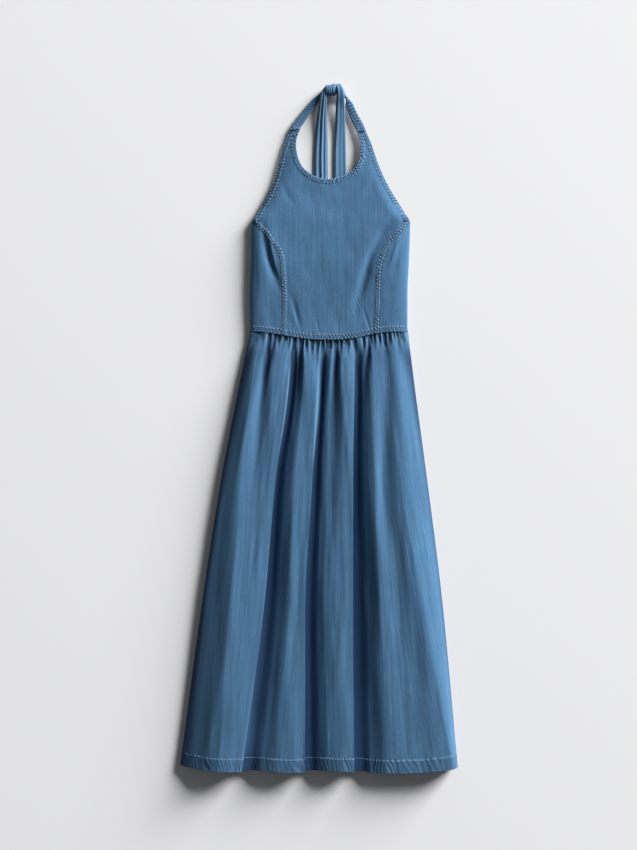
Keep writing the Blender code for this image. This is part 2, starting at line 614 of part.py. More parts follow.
def build_knot_core(material):
    """The bunched cloth inside the knot, with shallow furrows along it."""
    places = np.linspace(KNOT_CORE[0]["x"], KNOT_CORE[-1]["x"], 15)
    rings = []
    for x in places:
        ring = knot_ring(knot_row_at(x))
        middle = ring.mean(axis=0)
        outside = x < WRAP_FROM - 1 or x > WRAP_TO + 1
        furrow = np.where(np.arange(KNOT_SIDES) % 2 == 1, 0.90 if outside else 0.97, 1.0)
        rings.append(middle + (ring - middle) * furrow[:, None])
    points = np.vstack(rings + [rings[0].mean(axis=0)[None], rings[-1].mean(axis=0)[None]])
    n, count = KNOT_SIDES, len(rings)
    faces = []
    for k in range(count - 1):
        for j in range(n):
            a, b = k * n + j, k * n + (j + 1) % n
            faces.append((a, b, b + n, a + n))
    for j in range(n):
        faces.append((count * n, (j + 1) % n, j))
        faces.append((count * n + 1, (count - 1) * n + j, (count - 1) * n + (j + 1) % n))
    return make_solid("knot_core", points, faces, material)


def build_knot_wrap(material):
    """The turn of the tie round the knot: a closed band with rounded edges."""
    places = np.linspace(WRAP_FROM, WRAP_TO, 5)
    bulge = np.array([0.55, 0.9, 1.0, 0.9, 0.55]) * WRAP_THICK
    outer = [knot_ring(knot_row_at(x), SEAM_GAP + b) for x, b in zip(places, bulge)]
    inner = [knot_ring(knot_row_at(x), SEAM_GAP) for x in places]
    for ring in outer:
        ring[:, 2] = np.maximum(ring[:, 2], 0.0)
    rings = outer + inner[::-1]
    points = np.vstack(rings)
    n, count = KNOT_SIDES, len(rings)
    faces = []
    for k in range(count):
        for j in range(n):
            a, b = k * n + j, k * n + (j + 1) % n
            c, d = ((k + 1) % count) * n + (j + 1) % n, ((k + 1) % count) * n + j
            faces.append((a, b, c, d))
    return make_solid("knot_wrap", points, faces, material)


clear_scene()
denim = cloth_material()
build_centre_front(denim)
build_side_front("bodice_front_side_left", -1, denim)
build_side_front("bodice_front_side_right", 1, denim)
build_back_bodice(denim)
build_front_skirt(denim)
build_back_skirt(denim)
build_strip("strap_left", STRAP_LEFT, 9, False, denim)
build_strip("strap_right", STRAP_RIGHT, 9, False, denim)
build_strip("tie_end_left", TIE_LEFT, 14, True, denim)
build_strip("tie_end_right", TIE_RIGHT, 14, True, denim)
build_knot_core(denim)
build_knot_wrap(denim)
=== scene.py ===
import math

import bpy
import numpy as np
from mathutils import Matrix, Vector
from mathutils.bvhtree import BVHTree


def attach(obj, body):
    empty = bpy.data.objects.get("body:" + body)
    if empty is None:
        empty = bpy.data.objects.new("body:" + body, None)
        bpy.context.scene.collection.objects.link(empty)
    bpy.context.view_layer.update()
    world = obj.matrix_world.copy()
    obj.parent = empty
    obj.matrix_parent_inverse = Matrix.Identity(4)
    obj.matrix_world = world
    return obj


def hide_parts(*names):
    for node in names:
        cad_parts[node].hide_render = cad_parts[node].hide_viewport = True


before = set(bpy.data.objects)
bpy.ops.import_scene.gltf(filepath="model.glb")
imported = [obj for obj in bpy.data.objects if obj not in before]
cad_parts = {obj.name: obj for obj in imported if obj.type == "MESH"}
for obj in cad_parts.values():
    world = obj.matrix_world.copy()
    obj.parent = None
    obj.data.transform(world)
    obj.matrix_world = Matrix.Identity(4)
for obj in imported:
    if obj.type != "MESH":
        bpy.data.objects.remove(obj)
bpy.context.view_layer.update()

MM = 0.001

# Tables are in millimetres, in the frame's own axes: X across the dress, Y up to the neck, and Z up
# from the floor that it lies on. A cloth mesh is worked out in millimetres and made in metres.

# ---- Camera, light and floor ----
# The dress lies on a plain pale floor. The camera looks straight down on it, and one large soft light
# stands low at the upper right, so that every fold has a lit side and a shaded one.

CAMERA_HEIGHT = 3.2
LENS = 71.2
AIM = (-0.001, 0.005)
LIGHT_AZIMUTH = 42.0
LIGHT_ELEVATION = 18.0
LIGHT_DISTANCE = 26.0
LIGHT_SIZE = 12.0
LIGHT_POWER = 21000.0
SKY_STRENGTH = 0.105
FLOOR_COLOUR = (0.80, 0.80, 0.81, 1.0)

scene = bpy.context.scene
scene.view_settings.view_transform = "Standard"

camera = bpy.data.objects.new("camera", bpy.data.cameras.new("camera"))
camera.data.sensor_fit = "VERTICAL"
camera.data.sensor_height = 36.0
camera.data.sensor_width = 36.0
camera.data.lens = LENS
camera.data.clip_end = 60.0
camera.location = (*AIM, CAMERA_HEIGHT)
scene.collection.objects.link(camera)
scene.camera = camera

key = bpy.data.objects.new("key_light", bpy.data.lights.new("key_light", "AREA"))
key.data.energy = LIGHT_POWER
key.data.size = LIGHT_SIZE
azimuth, elevation = math.radians(LIGHT_AZIMUTH), math.radians(LIGHT_ELEVATION)
towards = Vector((math.cos(elevation) * math.cos(azimuth), math.cos(elevation) * math.sin(azimuth),
                  math.sin(elevation)))
key.location = towards * LIGHT_DISTANCE
key.rotation_euler = (-towards).to_track_quat("-Z", "Y").to_euler()
scene.collection.objects.link(key)

sky = bpy.data.worlds.new("studio")
sky.use_nodes = True
sky.node_tree.nodes["Background"].inputs["Color"].default_value = (0.97, 0.985, 1.0, 1.0)
sky.node_tree.nodes["Background"].inputs["Strength"].default_value = SKY_STRENGTH
scene.world = sky


class Number:
    """A number that varies over a surface, as a shader socket. Sums and products add Math nodes."""

    def __init__(self, finish, socket):
        self.finish, self.socket = finish, socket

    def math(self, operation, *others):
        return self.finish.node("ShaderNodeMath", {"operation": operation},
                                dict(enumerate((self, *others))))

    def __add__(self, other):
        return self.math("ADD", other)

    def __sub__(self, other):
        return self.math("SUBTRACT", other)

    def __rsub__(self, other):
        return self.finish.node("ShaderNodeMath", {"operation": "SUBTRACT"}, {0: other, 1: self})

    def __mul__(self, other):
        return self.math("MULTIPLY", other)

    __radd__, __rmul__ = __add__, __mul__


class Finish:
    """A material on a Principled shader, built up one node at a time."""

    def __init__(self, name):
        self.material = bpy.data.materials.new(name)
        self.material.use_nodes = True
        self.tree = self.material.node_tree
        self.shader = self.tree.nodes["Principled BSDF"]

    def node(self, kind, settings=(), sockets=(), output=0):
        made = self.tree.nodes.new(kind)
        for setting, value in dict(settings).items():
            if setting == "stops":
                self.set_stops(made.color_ramp, value)
            else:
                setattr(made, setting, value)
        for socket, value in dict(sockets).items():
            self.feed(made.inputs[socket], value)
        return Number(self, made.outputs[output])

    def set_stops(self, ramp, stops):
        while len(ramp.elements) < len(stops):
            ramp.elements.new(1.0)
        for element, (position, grey) in zip(ramp.elements, stops):
            element.position = position
            element.color = (grey, grey, grey, 1.0)

    def feed(self, socket, value):
        if isinstance(value, Number):
            self.tree.links.new(value.socket, socket)
        else:
            socket.default_value = value

    def surface(self, **sockets):
        for name, value in sockets.items():
            self.feed(self.shader.inputs[name.replace("_", " ")], value)

    def noise(self, place, scale, detail=2.0):
        return self.node("ShaderNodeTexNoise", {"noise_dimensions": "3D"},
                         {"Vector": place, "Scale": scale, "Detail": detail}, "Fac")

    def ramp(self, number, *stops):
        return self.node("ShaderNodeValToRGB", {"stops": stops}, {"Fac": number})

    def mix(self, share, first, second, blend="MIX"):
        return self.node("ShaderNodeMix", {"data_type": "RGBA", "blend_type": blend},
                         {0: share, 6: first, 7: second}, 2)

    def bump(self, height, distance, under=None):
        sockets = {"Height": height, "Distance": distance, "Strength": 1.0}
        if under is not None:
            sockets["Normal"] = under
        return self.node("ShaderNodeBump", (), sockets)


paper = Finish("studio_floor")
paper_grain = paper.noise(paper.node("ShaderNodeTexCoord", output="Object"), 260.0)
paper.surface(Base_Color=FLOOR_COLOUR, Roughness=0.9, Normal=paper.bump(paper_grain, 0.00004))
paper.shader.inputs["Specular IOR Level"].default_value = 0.1
FLOOR_HALF, FLOOR_LEVEL = 14.0, -0.0006
floor_mesh = bpy.data.meshes.new("studio_floor")
floor_mesh.from_pydata([(x * FLOOR_HALF, y * FLOOR_HALF, FLOOR_LEVEL)
                        for x, y in ((-1, -1), (1, -1), (1, 1), (-1, 1))], [], [(0, 1, 2, 3)])
floor_mesh.materials.append(paper.material)
studio_floor = bpy.data.objects.new("studio_floor", floor_mesh)
scene.collection.objects.link(studio_floor)

# ---- Bodice, centre front ----
# One panel of washed light denim between two curved princess seams. It runs up into two prongs at the
# neck. Its free edges are turned under twice and stitched in two rows, which rope the cloth a little.

NECKLINE = [(-34, 571), (-43, 544), (-41, 518), (-32, 496), (-15, 481), (3, 473), (23, 472),
            (46, 478), (64, 489), (74, 504), (78, 523), (77, 546), (70, 567)]
ARMHOLE_L = [(-54, 569), (-66, 539), (-75, 508), (-84, 474), (-95, 447), (-111, 418), (-125.5, 393)]
ARMHOLE_R = [(87, 569), (99, 541), (109, 512), (120, 484), (132, 459), (148, 432), (162, 410),
             (171.5, 394)]
PRINCESS_L = [(-125.5, 393), (-104, 374), (-91, 357), (-77, 339), (-70, 318), (-68, 295), (-67, 271),
              (-66, 241), (-66, 174)]
PRINCESS_R = [(171.5, 394), (155, 376), (140, 361), (127, 342), (117, 317), (113, 295), (112, 263),
              (111, 230), (109, 177)]
WAIST = [(-130, 183), (-106, 181), (-85, 178), (-57, 173), (-25, 168), (10, 166), (45, 167),
         (75, 171), (103, 177), (130, 181), (170, 182)]
UNDERARM_Y = 390.0
# The front at each height: where its sides are, and how high it stands in the middle and at the sides
BODICE_ROWS = [
    dict(y=150, left=-130, right=168, middle=15.0, side=7.5),
    dict(y=183, left=-130, right=168, middle=15.0, side=7.5),
    dict(y=250, left=-131, right=168, middle=17.0, side=8.0),
    dict(y=320, left=-129, right=171, middle=19.0, side=8.0),
    dict(y=390, left=-128, right=173, middle=17.5, side=7.5),
    dict(y=418, left=-110, right=155, middle=16.0, side=7.0),
    dict(y=447, left=-95, right=138, middle=14.5, side=6.5),
    dict(y=474, left=-84, right=124, middle=13.0, side=6.0),
    dict(y=508, left=-75, right=110, middle=11.0, side=5.5),
    dict(y=539, left=-66, right=98, middle=9.0, side=5.0),
    dict(y=575, left=-52, right=85, middle=7.0, side=4.5),
]
# Creases pressed into the bodice (depth) and ridges raised on it (depth below nought), along a few
# points each. width is how far it fades to each side.
BODICE_CREASES = [
    dict(line=[(-104, 396), (-106, 372), (-99, 338), (-90, 306), (-81, 281), (-76, 262)],
         width=6.0, depth=3.8),
    dict(line=[(-93, 358), (-86, 317), (-78, 290)], width=3.0, depth=-1.6),
    dict(line=[(-110, 368), (-96, 322), (-80, 262)], width=9.0, depth=2.2),
    dict(line=[(-118, 350), (-114, 300), (-112, 240)], width=5.0, depth=-0.8),
    dict(line=[(133, 385), (119, 364), (106, 342), (95, 316), (87, 287), (75, 246), (62, 214)],
         width=8.0, depth=5.6),
    dict(line=[(150, 394), (118, 340), (84, 262)], width=12.0, depth=2.2),
    dict(line=[(153, 364), (142, 330), (130, 296)], width=3.4, depth=-1.2),
    dict(line=[(160, 360), (150, 322), (140, 280)], width=4.0, depth=1.4),
    dict(line=[(166, 382), (163, 350), (158, 322)], width=3.0, depth=1.6),
    dict(line=[(-53, 251), (-43, 218), (-33, 183)], width=2.8, depth=2.4),
    dict(line=[(-56, 214), (-50, 196), (-44, 180)], width=2.6, depth=0.8),
    dict(line=[(84, 226), (90, 206), (96, 184)], width=3.2, depth=1.0),
    dict(line=[(-8, 214), (-4, 198), (0, 180)], width=2.8, depth=0.7),
    dict(line=[(38, 210), (36, 196), (35, 180)], width=2.8, depth=0.6),
    dict(line=[(-72, 470), (-60, 440), (-42, 420)], width=6.0, depth=0.9),
    dict(line=[(108, 480), (96, 452), (78, 430)], width=7.0, depth=0.9),
    dict(line=[(-22, 462), (-14, 430), (-10, 396)], width=7.0, depth=0.5),
]
# The front rounds off over ROLL towards its sides. A band is the width of a turned edge, and its lines
# are the rows of stitches, as distances from the fold. The centre laps over the side fronts by LAP.
ROLL = 30.0
EDGE_BAND, STITCH_LINES = 8.4, (1.9, 6.7)
WAIST_BAND, WAIST_LINES = 11.0, (2.2, 9.4)
PRINCESS_BAND, PRINCESS_LINES = 7.2, (1.2, 6.0)
LAP = 3.6
EDGE_RADIUS, EDGE_FALL = 1.0, 0.75

DENIM_COLOUR = (0.056, 0.148, 0.272, 1.0)
WORN_COLOUR = (0.250, 0.400, 0.550, 1.0)
# Painted shade: a near-black blue that the deep attribute mixes into seams, hollows and fold troughs
PAINTED_SHADE_COLOUR = (0.005, 0.026, 0.072, 1.0)


def eased(t):
    t = np.clip(t, 0.0, 1.0)
    return t * t * (3.0 - 2.0 * t)


def dip(distance, width):
    return np.exp(-(distance / width) ** 2)


def through(at, values, wanted):
    """A smooth curve that never overshoots the values given at the places in at."""
    at, values = np.asarray(at, float), np.asarray(values, float)
    flat = values.ndim == 1
    values = values[:, None] if flat else values
    rise = np.diff(values, axis=0) / np.diff(at)[:, None]
    same_way = rise[:-1] * rise[1:] > 0
    mean = 2.0 * rise[:-1] * rise[1:] / np.where(same_way, rise[:-1] + rise[1:], 1.0)
    slope = np.vstack([rise[:1], np.where(same_way, mean, 0.0), rise[-1:]])
    wanted = np.clip(np.asarray(wanted, float), at[0], at[-1])
    i = np.clip(np.searchsorted(at, wanted, side="right") - 1, 0, len(at) - 2)
    step = (at[i + 1] - at[i])[:, None]
    t = (wanted - at[i])[:, None] / step
    read = ((2 * t**3 - 3 * t**2 + 1) * values[i] + (t**3 - 2 * t**2 + t) * step * slope[i]
            + (3 * t**2 - 2 * t**3) * values[i + 1] + (t**3 - t**2) * step * slope[i + 1])
    return read[:, 0] if flat else read


def along(points, shares):
    """Points at shares of the length of a smooth line drawn through the given points."""
    points = np.asarray(points, float)
    ahead = np.vstack([2 * points[0] - points[1], points, 2 * points[-1] - points[-2]])
    t = np.linspace(0, 1, 24, endpoint=False)[:, None]
    runs = [0.5 * (2 * b + (c - a) * t + (2 * a - 5 * b + 4 * c - d) * t**2 + (3 * b - a - 3 * c + d) * t**3)
            for a, b, c, d in zip(ahead[:-3], ahead[1:-2], ahead[2:-1], ahead[3:])]
    line = np.vstack(runs + [points[-1:]])
    length = np.concatenate([[0.0], np.cumsum(np.linalg.norm(np.diff(line, axis=0), axis=1))])
    wanted = np.asarray(shares, float) * length[-1]
    return np.stack([np.interp(wanted, length, line[:, k]) for k in range(line.shape[1])], axis=1)


def leftwards(line):
    """Steps of length 1 at each point of a line, to the left of the way it runs."""
    heading = np.gradient(line, axis=0)
    heading /= np.linalg.norm(heading, axis=1)[:, None]
    return np.stack([-heading[:, 1], heading[:, 0]], axis=1)


def moved(line, distance):
    """A line moved sideways, to the left of the way it runs."""
    line = np.asarray(line, float)
    return line + leftwards(line) * np.reshape(distance, (-1, 1))


def measure_to(outline, x, y):
    """The distance of each point from an outline, and how far along the outline it lies."""
    line = along(outline, np.linspace(0, 1, 161))
    start, step = line[:-1], np.diff(line, axis=0)
    size = np.linalg.norm(step, axis=1)
    run = np.concatenate([[0], np.cumsum(size)])
    best = np.full(x.shape, 1e9)
    place = np.zeros(x.shape)
    for (x0, y0), (dx, dy), length, before in zip(start, step, size, run):
        t = np.clip(((x - x0) * dx + (y - y0) * dy) / length**2, 0.0, 1.0)
        away = np.hypot(x - x0 - t * dx, y - y0 - t * dy)
        nearer = away < best
        best = np.where(nearer, away, best)
        place = np.where(nearer, before + t * length, place)
    return best, place


def uneven(x, y, size, seed):
    """Smooth unevenness between -1 and 1, in patches of the given size in x and y."""
    spots = np.random.default_rng(seed).uniform(-1, 1, (64, 64))
    u, v = np.asarray(x) / size[0], np.asarray(y) / size[1]
    i, j = np.floor(u).astype(int), np.floor(v).astype(int)
    s, t = eased(u - i), eased(v - j)
    near = spots[j % 64, i % 64] * (1 - s) + spots[j % 64, (i + 1) % 64] * s
    far = spots[(j + 1) % 64, i % 64] * (1 - s) + spots[(j + 1) % 64, (i + 1) % 64] * s
    return near * (1 - t) + far * t


def waist_y(x):
    line = along(WAIST, np.linspace(0, 1, 200))
    return np.interp(x, line[:, 0], line[:, 1])


def bodice_row(y):
    table = [[row[k] for k in ("left", "right", "middle", "side")] for row in BODICE_ROWS]
    return through([row["y"] for row in BODICE_ROWS], table, np.ravel(y)).T.reshape((4,) + np.shape(y))


def bodice_height(x, y):
    """Height of the front bodice's face before its stitched edges are added."""
    left, right, middle, side = bodice_row(y)
    inward = np.clip(np.minimum(x - left, right - x) / ROLL, 0.0, 1.0)
    roundness = 0.5 + 0.4 * eased((y - UNDERARM_Y + 10.0) / 50.0)
    height = side + (middle - side) * (1.0 - (1.0 - inward) ** 2) ** roundness
    for crease in BODICE_CREASES:
        line = along(crease["line"], np.linspace(0, 1, 41))
        away = np.hypot(x[..., None] - line[:, 0], y[..., None] - line[:, 1])
        taper = np.sin(np.pi * np.linspace(0.03, 0.97, len(line)))[away.argmin(axis=-1)]
        height -= crease["depth"] * taper * dip(away.min(axis=-1), crease["width"]) * inward
    # Soft bagginess all over, as washed cloth has
    height += inward * (0.9 * uneven(x, y, (46, 60), 3) + 0.35 * uneven(x, y, (15, 26), 4))
    return height


class Relief:
    """What the sewing does to a cloth: how far it is raised, how worn it is, and how much painted shade lies
    in its seams and hollows (deep).
    """

    def __init__(self, grid):
        self.rise, self.worn, self.deep = np.zeros_like(grid), np.zeros_like(grid), np.zeros_like(grid)

    def stitched_edge(self, away, run, band, lines, seed, rise=0.7, rope=0.50, worn=1.1, period=6.4,
                      slant=0.5, diagonal=0.35):
        """A turned and topstitched band along an edge, roped by its own stitching."""
        inside = 1.0 - eased((away - band + 0.5) / 1.4)
        between = eased(away / 1.2) * (1.0 - eased((away - band - 0.6) / 2.6))
        self.rise += rise * inside
        # Each row pulls the cloth up into small humps, those of the next row between them
        humps = np.zeros_like(away)
        for k, line in enumerate(lines):
            drift = (run + period * k / 2) / period + 0.28 * uneven(run, away, (13, 40), seed + k)
            beat = np.sin(2 * np.pi * drift) + 0.4 * np.sin(3.3 * np.pi * drift + k)
            humps += beat * dip(away - line - 0.4 * np.sin(2 * np.pi * drift), 1.7)
        drift = (run + slant * away) / period + 0.7 * uneven(run, away, (13, 30), seed + 5)
        humps += diagonal * between * (np.sin(2 * np.pi * drift)
                                       + 0.5 * np.sin(3.1 * np.pi * drift + 1.0))
        humps *= 0.75 + 0.45 * uneven(run, 0 * run, (24, 9), seed + 1)
        self.rise += rope * humps
        # Each row of stitches sinks the cloth a little, with painted shade along it
        for line in lines:
            self.rise -= 0.2 * dip(away - line, 0.7)
            self.deep += 0.2 * dip(away - line, 0.8)
        # The humps fade in the wash; the hollows between them and along the band are darkened with painted
        # shade
        fade = 0.45 * dip(away - 0.4, 1.2) + 0.75 * np.clip(humps, 0, 1.2) + 0.35 * dip(away - band, 0.9)
        self.worn += worn * fade * (0.75 + 0.35 * uneven(run, away, (11, 7), seed + 2))
        self.deep += 0.15 * between + 0.90 * np.clip(-humps, 0, 1.0)
        # A row of stitches draws the cloth beyond it into short puckers
        outside = eased((away - band) / 1.5) * (1.0 - eased((away - band) / 16.0))
        self.rise += 0.30 * outside * uneven(run + 0.4 * away, away, (6.0, 26), seed + 3)

    def seam(self, away, depth, dark):
        """The line where the cloth goes down into a seam, with painted shade along it."""
        self.rise -= depth * dip(away, 1.0)
        self.deep += dark * dip(away, 1.3)

    def turned_edge(self, away):
        """Rounds the face down to the middle of the cloth's thickness at a turned edge."""
        t = np.clip(1.0 - away / EDGE_RADIUS, 0.0, 1.0)
        self.rise -= EDGE_FALL * (1.0 - np.sqrt(1.0 - t**2 * 0.999))

    def lengthen(self, before, after):
        """Repeats the colour of the first and last rows on the rows that are tucked under them."""
        for field in ("worn", "deep"):
            setattr(self, field, np.pad(getattr(self, field), ((before, after), (0, 0)), mode="edge"))


def make_denim():
    denim = Finish("washed_denim")
    cut = denim.node("ShaderNodeUVMap", {"uv_map": "cut"})
    worn = denim.node("ShaderNodeAttribute", {"attribute_name": "worn"}, output="Fac")
    # deep carries the painted shade worked out for each cloth
    deep = denim.node("ShaderNodeAttribute", {"attribute_name": "deep"}, output="Fac")

    def stretched(across, lengthwise):
        return denim.node("ShaderNodeVectorMath", {"operation": "MULTIPLY"},
                          {0: cut, 1: (across, lengthwise, 1.0)})

    # Thick and thin warp threads show as fine pale and dark streaks along the cloth
    fine = denim.ramp(denim.noise(stretched(760.0, 11.0), 1.0, 3.0), (0.30, 0.0), (0.74, 1.0))
    broad = denim.ramp(denim.noise(stretched(230.0, 4.5), 1.0, 2.0), (0.28, 0.0), (0.72, 1.0))
    slub = denim.ramp(denim.noise(stretched(520.0, 26.0), 1.0, 2.0), (0.62, 0.0), (0.74, 1.0))
    cloud = denim.noise(stretched(11.0, 9.0), 1.0, 3.0)
    # Steep twill lines, 0.8 mm apart, broken up along the threads
    parts = denim.node("ShaderNodeSeparateXYZ", (), {0: cut}, "X")
    length = denim.node("ShaderNodeSeparateXYZ", (), {0: cut}, "Y")
    wander = denim.noise(stretched(900.0, 300.0), 1.0, 1.0)
    twill = ((parts * 6800.0 + length * 3900.0) + wander * 3.0).math("SINE") * 0.5 + 0.5
    threads = denim.noise(stretched(2600.0, 1100.0), 1.0, 1.0)

    tone = (fine - 0.5) * 0.26 + (broad - 0.5) * 0.16 + (cloud - 0.5) * 0.26 + (twill - 0.5) * 0.12
    bright = tone + 1.0
    base = denim.mix(1.0, DENIM_COLOUR, denim.node(
        "ShaderNodeCombineColor", (), {"Red": bright, "Green": bright, "Blue": bright}), "MULTIPLY")
    base = denim.mix(slub * 0.20, base, WORN_COLOUR)
    patchy = denim.noise(stretched(420.0, 300.0), 1.0, 2.0)
    fade = (worn * (patchy * 1.1 + 0.25)).math("MINIMUM", 0.85)
    base = denim.mix(fade, base, WORN_COLOUR)
    # Painted shade: darker towards near-black blue where deep marks seams, hollows and fold troughs
    base = denim.mix(deep.math("MINIMUM", 0.9), base, PAINTED_SHADE_COLOUR)
    weave = denim.bump(twill * 0.6 + threads * 0.4, 0.00010)
    streaks = denim.bump(fine * 0.5 + broad * 0.5, 0.00030, weave)
    denim.surface(Base_Color=base, Roughness=0.80 + fine * 0.14, Normal=streaks)
    denim.shader.inputs["Specular IOR Level"].default_value = 0.18
    denim.shader.inputs["Sheen Weight"].default_value = 0.10
    denim.shader.inputs["Sheen Roughness"].default_value = 0.55
    return denim.material


denim = make_denim()
# No cloth goes lower than this over the floor
FLOOR_GAP = 0.1


def lay_cloth(name, points, cut, relief):
    """One layer of cloth from a grid of points in mm, rows downwards and columns to the right.

    cut holds each point's place on the flat cloth in mm, across it and along its warp.
    """
    rows, columns, _ = points.shape
    points = np.dstack([points[..., :2], np.maximum(points[..., 2], FLOOR_GAP)])
    mesh = bpy.data.meshes.new(name)
    index = np.arange(rows * columns).reshape(rows, columns)
    here, right = index[:, :-1], index[:, 1:]
    quads = np.stack([here[:-1], here[1:], right[1:], right[:-1]], axis=-1).reshape(-1, 4)
    mesh.vertices.add(rows * columns)
    mesh.vertices.foreach_set("co", (points * MM).ravel())
    mesh.loops.add(quads.size)
    mesh.loops.foreach_set("vertex_index", quads.ravel())
    mesh.polygons.add(len(quads))
    mesh.polygons.foreach_set("loop_start", np.arange(0, quads.size, 4))
    mesh.update(calc_edges=True)
    flat = (cut.reshape(-1, 2) * MM)[quads.ravel()]
    mesh.uv_layers.new(name="cut").uv.foreach_set("vector", flat.ravel())
    for field in ("worn", "deep"):
        values = np.clip(getattr(relief, field), 0.0, 1.5).ravel()
        mesh.attributes.new(field, "FLOAT", "POINT").data.foreach_set("value", values)
    mesh.shade_smooth()
    mesh.materials.append(denim)
    cloth = bpy.data.objects.new(name, mesh)
    scene.collection.objects.link(cloth)
    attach(cloth, "root")
    return cloth


# Rows of the mesh stand close together at an edge, at these distances from it
EDGE_STEPS = np.array([0, 0.35, 0.8, 1.3, 1.9, 2.5, 3.3, 4.2, 5.1, 6.0, 6.7, 7.4, 8.2, 9.2, 10.6, 12.4,
                       15.0])
# Past this distance the steps close up where two edges are near each other
NARROW_FROM = 8.2
# How many columns to each side a ray's heading is averaged over, and how long it keeps that heading
RAY_WINDOW, RAY_PULL, LONGEST_PULL = 60, 0.8, 44.0


def rays_between(inner, outer, middle_rows):
    """Rows of points on smooth rays that leave one line and meet the other squarely.

    The rows stand close together at both lines. Returns a grid of points in plan.
    """
    def square_to(line):
        padded = np.pad(leftwards(line), ((RAY_WINDOW, RAY_WINDOW), (0, 0)), mode="edge")
        kernel = np.ones(2 * RAY_WINDOW + 1) / (2 * RAY_WINDOW + 1)
        normal = np.stack([np.convolve(padded[:, k], kernel, "valid") for k in (0, 1)], axis=1)
        return normal / np.linalg.norm(normal, axis=1)[:, None]

    t = np.linspace(0, 1, 60)[:, None]
    grid = []
    for p, q, m, n in zip(inner, outer, square_to(inner), square_to(outer)):
        pull = min(RAY_PULL * np.linalg.norm(q - p), LONGEST_PULL)
        start, end = -m * pull, -n * pull
        ray = ((2 * t**3 - 3 * t**2 + 1) * p + (t**3 - 2 * t**2 + t) * start
               + (3 * t**2 - 2 * t**3) * q + (t**3 - t**2) * end)
        run = np.concatenate([[0], np.cumsum(np.linalg.norm(np.diff(ray, axis=0), axis=1))])
        room = np.clip((0.46 * run[-1] - NARROW_FROM) / (EDGE_STEPS[-1] - NARROW_FROM), 0.05, 1.0)
        closed_up = NARROW_FROM + (EDGE_STEPS - NARROW_FROM) * room
        steps = np.where(EDGE_STEPS > NARROW_FROM, closed_up, EDGE_STEPS)
        middle = np.linspace(steps[-1], run[-1] - steps[-1], middle_rows + 2)[1:-1]
        marks = np.concatenate([steps, middle, (run[-1] - steps)[::-1]])
        grid.append(np.stack([np.interp(marks, run, ray[:, k]) for k in (0, 1)], axis=1))
    return np.array(grid).transpose(1, 0, 2)


def turned_in(points, cut, relief, edge):
    """Adds rows that turn the cloth under at its first (edge 0) or last (edge -1) row."""
    depths, drops = (2, 6, 9, 11), (1.15, 1.3, 1.3, 1.3)
    rows = [points[k if edge == 0 else -1 - k] - [0, 0, drop] for k, drop in zip(depths, drops)]
    cuts = [cut[k if edge == 0 else -1 - k] for k in depths]
    if edge == 0:
        relief.lengthen(len(rows), 0)
        return np.concatenate([rows[::-1], points]), np.concatenate([cuts[::-1], cut])
    relief.lengthen(0, len(rows))
    return np.concatenate([points, rows]), np.concatenate([cut, cuts])


def lapped(seam, side):
    """The folded edge of the centre front, which laps over the side front along a princess seam."""
    share = np.linspace(0, 1, 41)
    return moved(along(seam, share), side * LAP * eased(share / 0.08))


LAP_L, LAP_R = lapped(PRINCESS_L, -1), lapped(PRINCESS_R, 1)
ARM_COLUMNS, PRINCESS_COLUMNS, WAIST_COLUMNS = 200, 205, 170
arm_share = np.linspace(0, 1, ARM_COLUMNS, endpoint=False)
princess_share = np.linspace(0, 0.99, PRINCESS_COLUMNS)
waist_x = np.linspace(LAP_L[-1, 0], LAP_R[-1, 0], WAIST_COLUMNS + 1)
outer_line = np.vstack([
    along(ARMHOLE_L, arm_share), along(LAP_L, princess_share),
    np.stack([waist_x, waist_y(waist_x)], axis=1),
    along(LAP_R, princess_share)[::-1], along(ARMHOLE_R, arm_share)[::-1]])
# Shares of the outer line, and the shares of the neckline that their rays start from
NECK_SHARES = ((0.0, 0.205, 0.43, 0.59, 0.80, 1.0), (0.0, 0.34, 0.45, 0.55, 0.66, 1.0))
MIDDLE_ROWS = 38
neck_share = np.interp(np.linspace(0, 1, len(outer_line)), *NECK_SHARES)
plan = rays_between(along(NECKLINE, neck_share), outer_line, MIDDLE_ROWS)
x, y = plan[..., 0], plan[..., 1]
centre = Relief(x)
to_edge, run = measure_to(NECKLINE, x, y)
centre.stitched_edge(to_edge, run, EDGE_BAND, STITCH_LINES, 11)
centre.turned_edge(to_edge)
for seed, outline in ((21, ARMHOLE_L), (31, ARMHOLE_R)):
    to_edge, run = measure_to(outline, x, y)
    centre.stitched_edge(to_edge, run, EDGE_BAND, STITCH_LINES, seed)
    centre.turned_edge(to_edge)
for seed, outline in ((41, LAP_L), (51, LAP_R)):
    to_edge, run = measure_to(outline, x, y)
    centre.stitched_edge(to_edge, run, PRINCESS_BAND, PRINCESS_LINES, seed, rise=0.6, rope=0.50)
    centre.turned_edge(to_edge)
to_waist, run = measure_to(WAIST, x, y)
centre.stitched_edge(to_waist, run, WAIST_BAND, WAIST_LINES, 61, rise=0.4, rope=0.42)
centre.seam(to_waist, depth=0.5, dark=0.3)
points = np.dstack([x, y, bodice_height(x, y) + centre.rise])
points, cut = turned_in(points, plan, centre, 0)
points, cut = turned_in(points, cut, centre, -1)
bodice_front_centre = lay_cloth("bodice_front_centre_cloth", points, cut, centre)
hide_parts("bodice_front_centre")

thread = Finish("pale_blue_thread")
twist = thread.noise(thread.node("ShaderNodeTexCoord", output="Object"), 2600.0)
thread.surface(Base_Color=thread.mix(twist, (0.17, 0.34, 0.54, 1.0), (0.34, 0.54, 0.74, 1.0)),
               Roughness=0.70, Normal=thread.bump(twist, 0.00008))
STITCH_LENGTH, STITCH_PITCH, THREAD_RADIUS, STITCH_SIDES = 2.5, 3.3, 0.27, 6
# Rings along one stitch: place along it, girth, and lift off the cloth, so that both ends dive into it
STITCH_RINGS = ((-0.50, 0.35, -0.14), (-0.36, 0.85, 0.08), (0.0, 1.0, 0.18), (0.36, 0.85, 0.08),
                (0.50, 0.35, -0.14))


